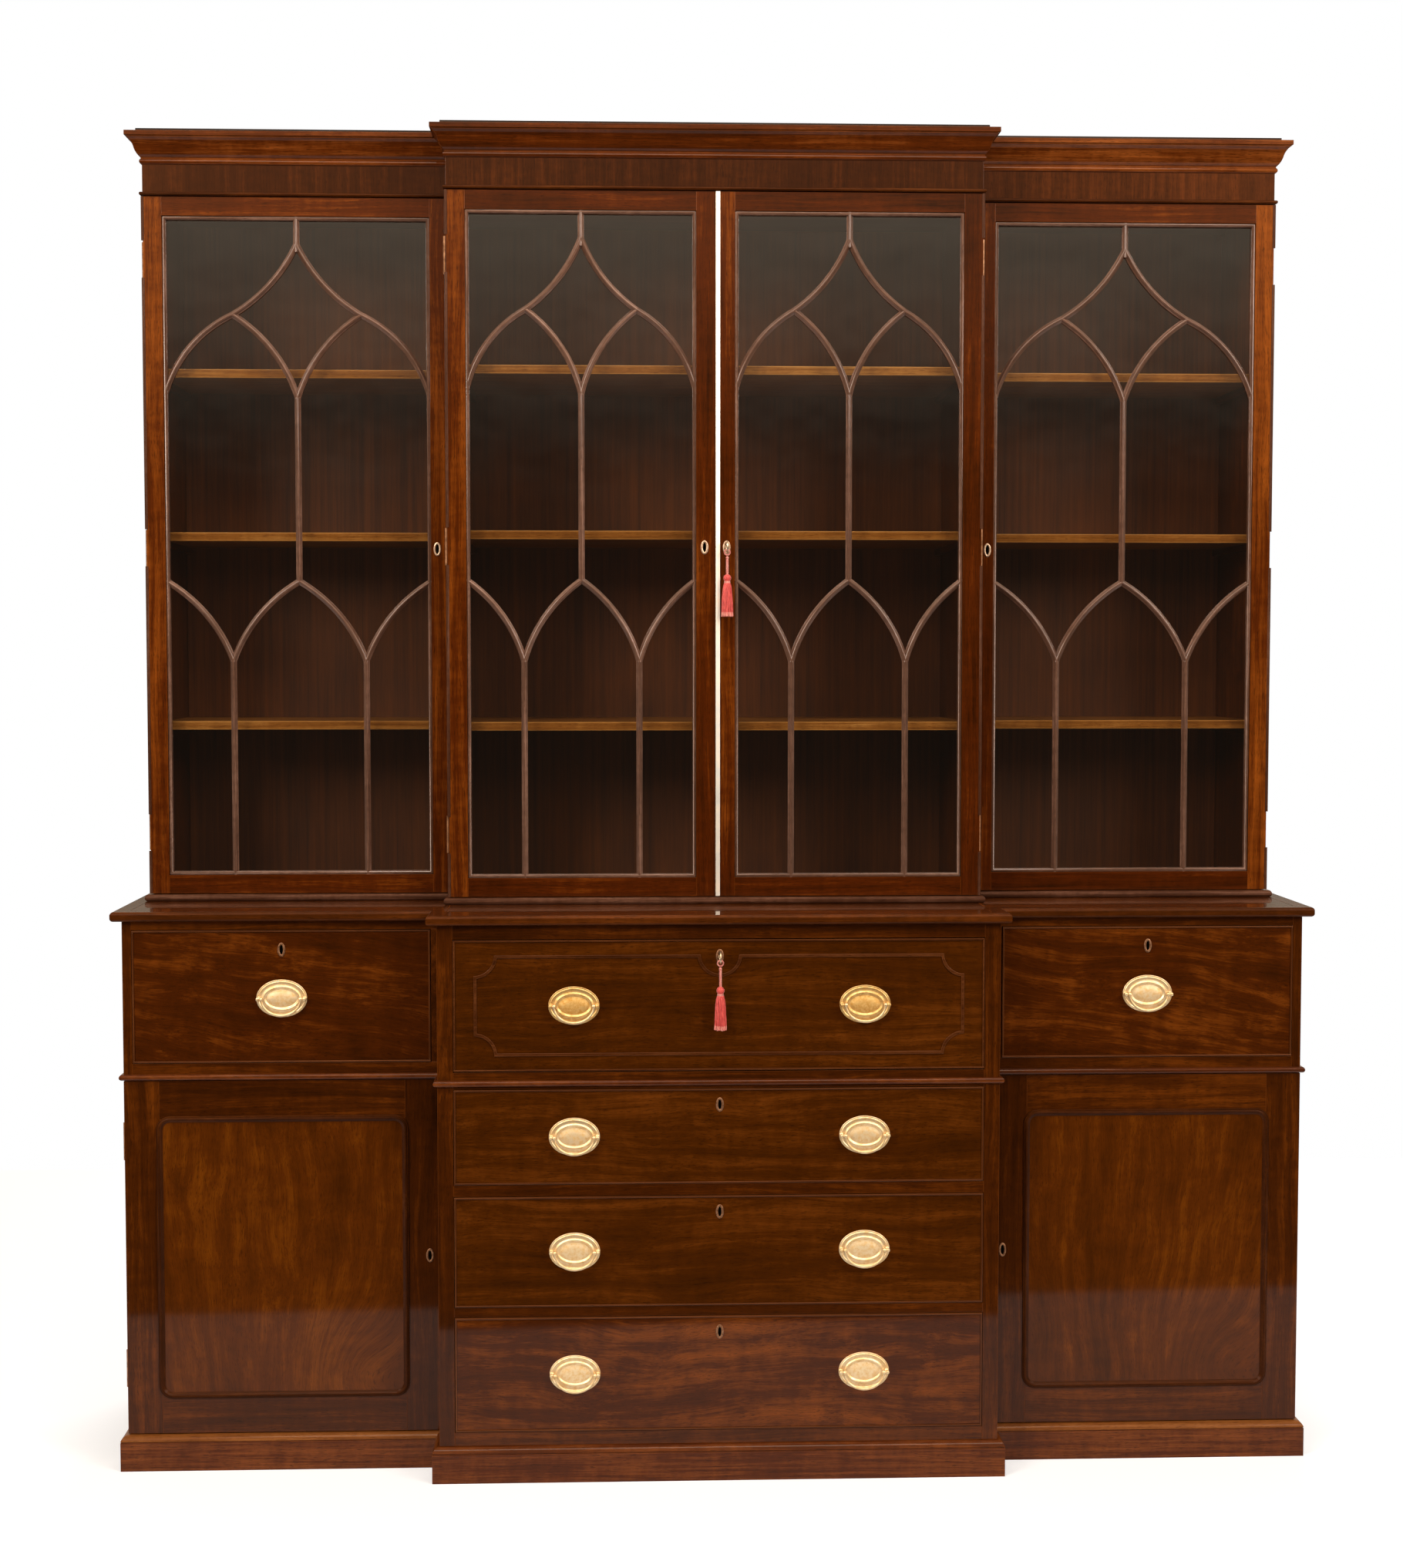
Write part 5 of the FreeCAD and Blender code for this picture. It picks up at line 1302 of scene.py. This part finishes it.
@dataclass
class CupboardDoor:
    """A framed cupboard door with a flame veneered panel inside a mitred moulding."""

    label: str
    panel_lean: float
    eye: tuple[float, float] = (0.28, -0.44)
    eye_push: float = 0.2
    eye_spread: tuple[float, float] = (0.14, 0.15)
    fan: float = 0.22
    moulding_thick: float = 7.5 * MM
    moulding_wide: float = 11 * MM
    corner: float = 24 * MM
    corner_steps: int = 8

    def build(self) -> None:
        """Make the door's wood and its brass."""
        shape = Shape(CASE, FLAME, KEYHOLE_SHADE, PANEL_BEAD)
        solids = solids_of(self.label)
        low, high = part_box(self.label)
        panel = max(solids, key=lambda solid: solid.size.x * solid.size.z
                    if solid.size.x < 0.9 * (high.x - low.x) and len(solid.faces) < 20 else 0)
        for solid in solids:
            if solid is panel:
                shape.board(solid, 1, along=Along.UP, arris=0, lean=self.panel_lean,
                            figure=self.figure)
            elif solid.size.y < self.moulding_thick:
                self.moulding(shape, solid)
            else:
                # Faces inside the keyhole take a near-black painted shade
                shape.board(solid, lambda place, board=solid: 2 * in_recess(place, board),
                            arris=0.6, outline_only=True)
        shape.piece(f"{self.label}_boards", self.label, Slot.MAHOGANY, [self.label],
                    weighted=True)
        Brassware(f"{self.label}_brassware", self.label).build()

    def figure(self, wide: float, tall: float) -> float:
        """Push the panel's grain aside: a fan that opens upwards, round an eye low down.

        Args:
            wide: the place across the panel, as a share of its width from the middle.
            tall: the place up the panel, as a share of its height from the middle.

        Returns:
            The push, as a share of the panel's width.
        """
        off = ((wide - self.eye[0]) / self.eye_spread[0]) ** 2
        off += ((tall - self.eye[1]) / self.eye_spread[1]) ** 2
        return self.eye_push * math.exp(-off / 2) - self.fan * wide * tall

    def moulding(self, shape: Shape, solid: Solid) -> None:
        """Run the moulding round the panel.

        Args:
            shape: the piece that takes it.
            solid: the plain ring that holds its place.
        """
        radius = self.corner
        centres = [(solid.high.x - radius, solid.high.z - radius),
                   (solid.low.x + radius, solid.high.z - radius),
                   (solid.low.x + radius, solid.low.z + radius),
                   (solid.high.x - radius, solid.low.z + radius)]
        path = []
        for i, (x, z) in enumerate(centres):
            for j in range(self.corner_steps + 1):
                angle = math.pi / 2 * (i + j / self.corner_steps)
                path.append(Vector((x + radius * math.cos(angle), solid.low.y,
                                    z + radius * math.sin(angle))))
        deep = solid.size.y
        section = [(0, 1), (0, 0.55), (0.06, 0.4), (0.2, 0.35), (0.28, 0.1), (0.42, 0),
                   (0.56, 0.06), (0.68, 0.3), (0.8, 0.55), (0.92, 0.7), (1, 0.85), (1, 1)]
        moulded(shape, path, [(self.moulding_wide * a, deep * b) for a, b in section],
                closed=True, finish=3)


@dataclass
class WritingDrawer:
    """The secretaire drawer: the fall, its stays and the drawer with its pigeonholes."""

    side_deep: float = 300 * MM
    side_thick: float = 12 * MM
    bead_thick: float = 4 * MM

    def build(self) -> None:
        """Make the fall and the drawer behind it."""
        joinery("writing_drawer", "writing_drawer", "writing_drawer_boards",
                (INTERIOR, LINING), self.box_board)
        joinery("fall_front", "fall_front", "fall_boards", (CALM_VENEER, BEAD, KEYHOLE_SHADE),
                self.fall_board)
        Brassware("fall_brassware", "fall_front").build()

    def box_board(self, solid: Solid) -> Settings:
        """Give the drawer's long sides their oak, and what stands within its mahogany."""
        lining = solid.size.y > self.side_deep and solid.size.x < self.side_thick
        return {"finish": int(lining), "arris": 0.6}

    def fall_board(self, solid: Solid) -> Settings:
        """Tell the fall's board from its beads and its thin moulding.

        Args:
            solid: the board.

        Returns:
            What Shape.board takes.
        """
        if solid.size.y < self.bead_thick:
            return {"finish": 1, "along": Along.ACROSS, "arris": 0.7}
        # Faces inside the keyhole take a near-black painted shade
        return {"finish": lambda place: 2 * in_recess(place, solid), "along": Along.ACROSS,
                "arris": 0.5, "outline_only": True}


@dataclass(frozen=True)
class Lamp:
    """A soft rectangular studio lamp: its place, aim and size in metres, its power and tint."""

    name: str
    place: tuple[float, float, float]
    aim: tuple[float, float, float]
    width: float
    height: float
    power: float
    tint: str

    def build(self) -> None:
        """Set the lamp up and aim it."""
        lamp = bpy.data.lights.new(self.name, "AREA")
        lamp.shape = "RECTANGLE"
        lamp.size, lamp.size_y = self.width, self.height
        lamp.energy = self.power
        lamp.color = linear(self.tint)[:3]
        stand = placed(self.name, lamp)
        stand.location = self.place
        aimed = Vector(self.aim) - Vector(self.place)
        stand.rotation_euler = aimed.to_track_quat("-Z", "Y").to_euler()


@dataclass
class Studio:
    """A pale floor, soft lamps, a plain white background and the photograph's camera."""

    place: tuple[float, float, float] = (-0.1819, -4.1651, 1.4210)
    yaw: float = 2.207
    pitch: float = 3.151
    lens: float = 52.638
    sensor: float = 36
    farthest: float = 60
    floor_near: float = -1.19
    floor_slant: float = -0.051
    floor_far: float = 2.2
    floor_half: float = 3.2
    floor_seen: float = 0.5
    floor_mirrored: float = 0.36
    ahead: float = 0.06
    above: float = 1.0
    beside: float = 0.35
    ambient: float = 0.38
    glow: str = "#ffe6c8"
    lamps: tuple[Lamp, ...] = (
        Lamp("left_key", (-2.9, -3.4, 3.1), (0, 0, 1.2), 1.6, 1.6, 110, "#fff6ea"),
        Lamp("right_key", (3.1, -3.2, 3.0), (0, 0, 1.2), 1.6, 1.6, 95, "#fff8f0"),
        Lamp("overhead", (0, -1.9, 3.9), (0, -0.2, 1.6), 3.0, 1.0, 60, "#fff3e2"),
        Lamp("rear_fill", (0.6, 3.6, 2.8), (0, 0, 1.2), 2.4, 1.6, 110, "#ffffff"))

    def build(self) -> None:
        """Make the camera, the floor, the world and the lamps."""
        self.camera()
        self.floor()
        self.world()
        for lamp in self.lamps:
            lamp.build()

    def camera(self) -> None:
        """Set the camera where the photograph was taken."""
        camera = bpy.data.cameras.new("photograph_view")
        camera.sensor_width = self.sensor
        camera.lens = self.lens
        camera.clip_end = self.farthest
        view = placed("photograph_view", camera)
        view.location = self.place
        view.rotation_euler = (math.radians(90 - self.pitch), 0, -math.radians(self.yaw))
        bpy.context.scene.camera = view

    def floor(self) -> None:
        """Lay a pale floor that ends a pace in front of the bookcase and keeps its shadow."""
        mesh = bpy.data.meshes.new("studio_floor")
        half = self.floor_half
        slant = half * self.floor_slant
        mesh.from_pydata([(-half, self.floor_near - slant, 0), (half, self.floor_near + slant, 0),
                          (half, self.floor_far, 0), (-half, self.floor_far, 0)], [],
                         [(0, 1, 2, 3)])
        placed("studio_floor", mesh)
        material, add = new_material("pale_floor")
        glow = add("Emission", {
            "Color": (1, 1, 1, 1),
            "Strength": self.seen(add, self.floor_seen, self.floor_mirrored)})
        lit = add("BsdfDiffuse", {"Color": linear("#d0d2d6")})
        add("OutputMaterial", {"Surface": add("AddShader", {0: glow, 1: lit})})
        mesh.materials.append(material)

    @staticmethod
    def seen(add: Adder, plain: float, mirrored: object) -> Node:
        """Make a strength for what the eye sees plainly, through glass or in a polish.

        Args:
            add: adds a node to the tree.
            plain: the strength for the eye and through glass.
            mirrored: the strength in a polish, a number or a node.

        Returns:
            The node that gives the strength; it is nothing for light that falls on the object.
        """
        rays = add("LightPath")
        straight = add("Math", {
            0: rays.outputs["Is Camera Ray"], 1: rays.outputs["Is Transmission Ray"]},
            operation="MAXIMUM")
        glossy = add("Math", {0: rays.outputs["Is Glossy Ray"], 1: mirrored},
                     operation="MULTIPLY")
        return add("Math", {0: straight, 1: plain, 2: glossy}, operation="MULTIPLY_ADD")

    def world(self) -> None:
        """Make a world that is white to the eye, and otherwise dim ahead and soft round it."""
        world = bpy.context.scene.world = bpy.data.worlds.new("plain_studio")
        world.use_nodes = True
        add = emptied(world.node_tree)
        heading = add("SeparateXYZ", {"Vector": add("TexCoord").outputs["Generated"]})
        above = add("MapRange", {
            "Value": heading.outputs["Z"], "From Min": 0.06, "From Max": 0.24,
            "To Min": self.ahead, "To Max": self.above}, interpolation_type="SMOOTHSTEP")
        sideways = add("Math", {0: heading.outputs["X"]}, operation="ABSOLUTE")
        sideways = add("MapRange", {
            "Value": sideways, "From Min": 0.3, "From Max": 0.65, "To Max": self.beside},
            interpolation_type="SMOOTHSTEP")
        around = add("Math", {0: above, 1: sideways}, operation="ADD")
        strength = add("Math", {
            0: add("LightPath").outputs["Is Diffuse Ray"], 1: self.ambient,
            2: self.seen(add, 1.0, around)}, operation="MULTIPLY_ADD")
        tint = add("MixRGB", {"Fac": add("LightPath").outputs["Is Camera Ray"],
                              "Color1": linear(self.glow), "Color2": (1, 1, 1, 1)})
        sky = add("Background", {"Color": tint, "Strength": strength})
        add("OutputWorld", {"Surface": sky})


@dataclass
class SilkTassel:
    """A silk cord with a twisted loop, a knot, a wound knob and a skirt of loose threads.

    Its sizes are in millimetres.
    """

    label: str
    loop_node: str | None = None
    strands: int = 3
    strand_lay: float = 9
    strand_share: float = 0.52
    ball_rows: int = 14
    ball_sides: int = 40
    ridges: int = 10
    ridge_depth: float = 0.06
    ridge_lean: float = 3
    ball_height: float = 0.97
    binding_radius: float = 5.2
    binding_turn: float = 0.26
    binding_steps: int = 25
    binding_ripple: float = 0.45
    skirt_layers: tuple[tuple[float, int], ...] = ((1.0, 38), (0.74, 26), (0.44, 14))
    thread: float = 0.75
    thread_steps: int = 8
    knob: float = 7
    skirt_drop: float = 9
    skirt_low: float = 10.2
    skirt_high: float = 5.2
    skirt_swell: float = 0.5
    unevenness: float = 1.6

    def build(self) -> None:
        """Make the tassel, its loop and its cord."""
        solids = sorted(solids_of(f"{self.label}_tassel"), key=lambda solid: solid.low.z)
        shape = Shape(CORAL_SILK, FRINGE_SILK, BLUSH_SILK)
        self.body(shape, solids[0])
        self.ball(shape, solids[1].centre, solids[1].size.x / 2, 2)
        if self.loop_node:
            own_loop = Shape(BLUSH_SILK)
            self.loop(own_loop, solids_of(self.loop_node)[0], 0)
            own_loop.piece(f"{self.loop_node}_twist", self.loop_node, Slot.SILK,
                           [self.loop_node], crease=60)
        else:
            self.loop(shape, solids[2], 2)
        tassel = shape.piece(f"{self.label}_silk", f"{self.label}_tassel", Slot.SILK,
                             [f"{self.label}_tassel"], crease=60)
        self.cord()

    def ball(self, shape: Shape, centre: Vector, radius: float, finish: int) -> None:
        """Add a ball wound of twisted strands.

        Args:
            shape: the piece that takes it.
            centre: its middle.
            radius: its greatest radius, in metres.
            finish: the number of its finish.
        """
        rings = []
        for i in range(1, self.ball_rows):
            polar = math.pi * i / self.ball_rows
            row = []
            for j in range(self.ball_sides):
                turn = FULL_TURN * j / self.ball_sides
                ridge = 1 - self.ridge_depth * (
                    1 - math.cos(self.ridges * turn + self.ridge_lean * polar))
                out = radius * ridge * math.sin(polar)
                row.append(centre + Vector((out * math.cos(turn), out * math.sin(turn),
                                            radius * self.ball_height * math.cos(polar))))
            rings.append(row)
        shape.loft(rings, finish)

    def body(self, shape: Shape, solid: Solid) -> None:
        """Add the knob, the binding at its neck and the skirt's threads.

        Args:
            shape: the piece that takes them.
            solid: the plain form that holds their place.
        """
        knob = self.knob * MM
        centre = Vector((solid.centre.x, solid.centre.y, solid.high.z - knob))
        self.ball(shape, centre, knob, 0)
        binding = [(self.binding_radius + self.binding_ripple * abs(math.sin(math.pi * i / 6)),
                    -i * self.binding_turn) for i in range(self.binding_steps)]
        turned(shape, centre - Z_AXIS * self.binding_radius * MM, Z_AXIS, binding, 20, 2)
        draw = random.Random(zlib.crc32(self.label.encode()))
        top, low = centre.z - self.skirt_drop * MM, solid.low.z
        for share, count in self.skirt_layers:
            for k in range(count):
                turn = FULL_TURN * (k + 0.5 * share) / count
                end = low + draw.uniform(0, self.unevenness) * MM
                wave, phase = draw.uniform(0.1, 0.35), draw.uniform(0, FULL_TURN)
                rings = []
                for i in range(self.thread_steps + 1):
                    down = i / self.thread_steps
                    spread = self.skirt_high + (self.skirt_low - self.skirt_high) * (
                        down ** self.skirt_swell)
                    angle = turn + 0.05 * math.sin(phase + 5 * down)
                    out = (share * spread + wave * math.sin(phase + 7 * down)) * MM
                    spot = Vector((centre.x + out * math.cos(angle),
                                   centre.y + out * math.sin(angle), top + (end - top) * down))
                    rings.append(ring(spot, X_AXIS * self.thread * MM,
                                      Y_AXIS * self.thread * MM, 5))
                shape.loft(rings[:-1], 0)
                shape.loft(rings[-2:], 1)

    def loop(self, shape: Shape, solid: Solid, finish: int) -> None:
        """Add the loop of twisted strands that hangs in the key's bow.

        Args:
            shape: the piece that takes it.
            solid: the plain ring that holds its place.
            finish: the number of its finish.
        """
        tube = solid.size.y / 2
        middle = solid.size.x / 2 - tube
        line = ring(solid.centre, X_AXIS * middle, Z_AXIS * middle, 48)
        self.twist(shape, line, tube, finish, closed=True)

    def twist(self, shape: Shape, line: Sequence[Vector], radius: float, finish: int,
              closed: bool = False) -> None:
        """Lay strands round a line.

        Args:
            shape: the piece that takes them.
            line: the line's points.
            radius: the cord's outer radius, in metres.
            finish: the number of its finish.
            closed: the line is a loop.
        """
        run = [0.0]
        for before, point in zip(line, line[1:]):
            run.append(run[-1] + (point - before).length)
        whole = run[-1] + ((line[0] - line[-1]).length if closed else 0)
        turns = whole / (self.strand_lay * MM)
        if closed:
            turns = max(round(turns), 1)
        strand = radius * self.strand_share
        count = len(line)
        for k in range(self.strands):
            rings = []
            for i, point in enumerate(line):
                ahead = line[(i + 1) % count] if closed or i + 1 < count else point
                behind = line[i - 1] if closed or i else point
                along = (ahead - behind).normalized()
                side = along.cross(Y_AXIS).normalized()
                third = along.cross(side)
                turn = FULL_TURN * (k / self.strands + turns * run[i] / whole)
                middle = point + (side * math.cos(turn) + third * math.sin(turn)) * (
                    radius - strand)
                rings.append(ring(middle, side * strand, third * strand, 8))
            shape.loft(rings, finish, closed=closed)

    def cord(self) -> None:
        """Add the hanging cord, its strands laid round the line of its route.
        """
        node = f"{self.label}_tassel_cord"
        low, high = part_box(node)
        middle = (low + high) / 2
        top = Vector((middle.x, middle.y, high.z))
        route = [top, middle, Vector((middle.x, middle.y, low.z))]
        curve = bpy.data.curves.new(f"{node}_route", "CURVE")
        curve.dimensions = "3D"
        spline = curve.splines.new("NURBS")
        spline.points.add(len(route) - 1)
        for point, place in zip(spline.points, route):
            point.co = (*place, 1)
        spline.order_u = 3
        spline.use_endpoint_u = True
        carrier = bpy.data.objects.new(f"{node}_route", curve)
        drawn = bpy.data.meshes.new_from_object(carrier)
        line = [vertex.co.copy() for vertex in drawn.vertices]
        bpy.data.objects.remove(carrier)
        shape = Shape(BLUSH_SILK)
        self.twist(shape, line, (high.x - low.x) / 2, 0)
        made = shape.piece(f"{node}_strands", f"{self.label}_tassel", Slot.SILK, [node],
                           crease=60)
        [tuple(point) for point in line]


def dress(node: str, finish: Finish) -> None:
    """Give a CAD node that stays as it is its material.

    Args:
        node: the node.
        finish: its finish.
    """
    mesh = frame["nodes"][node].data
    mesh.materials.clear()
    mesh.materials.append(finish.material())


def main() -> None:
    """Build the studio and every sub-assembly in order."""
    logging.basicConfig(level=logging.INFO, format="%(message)s")
    bpy.context.scene.view_settings.view_transform = "Standard"
    Studio().build()
    Carcase().build()
    for door, leans in DOOR_LEANS.items():
        GlazedDoor(door, *leans).build()
    for side, panel_lean in (("left", 0.06), ("right", -0.14)):
        CupboardDoor(f"{side}_cupboard_door", panel_lean).build()
    for drawer in (Drawer("top_drawer", lean=0.15), Drawer("middle_drawer"),
                   # The bottom drawer's pale streaks are partly painted light from the floor
                   Drawer("bottom_drawer", LIVELY_VENEER),
                   Drawer("left_deep_drawer", LIVELY_VENEER, -7),
                   Drawer("right_deep_drawer", LIVELY_VENEER, -7)):
        drawer.build()
    WritingDrawer().build()
    for node in frame["nodes"]:
        if node.endswith("_bail"):
            Bail(node).build()
    SilkTassel("door_key").build()
    SilkTassel("writing_key", "writing_key_loop").build()
    for node, finish in (("case_hinge_leaves", HINGE_BRASS), ("door_key", STEEL),
                         ("writing_key", STEEL)):
        dress(node, finish)


if __name__ == "__main__":
    main()
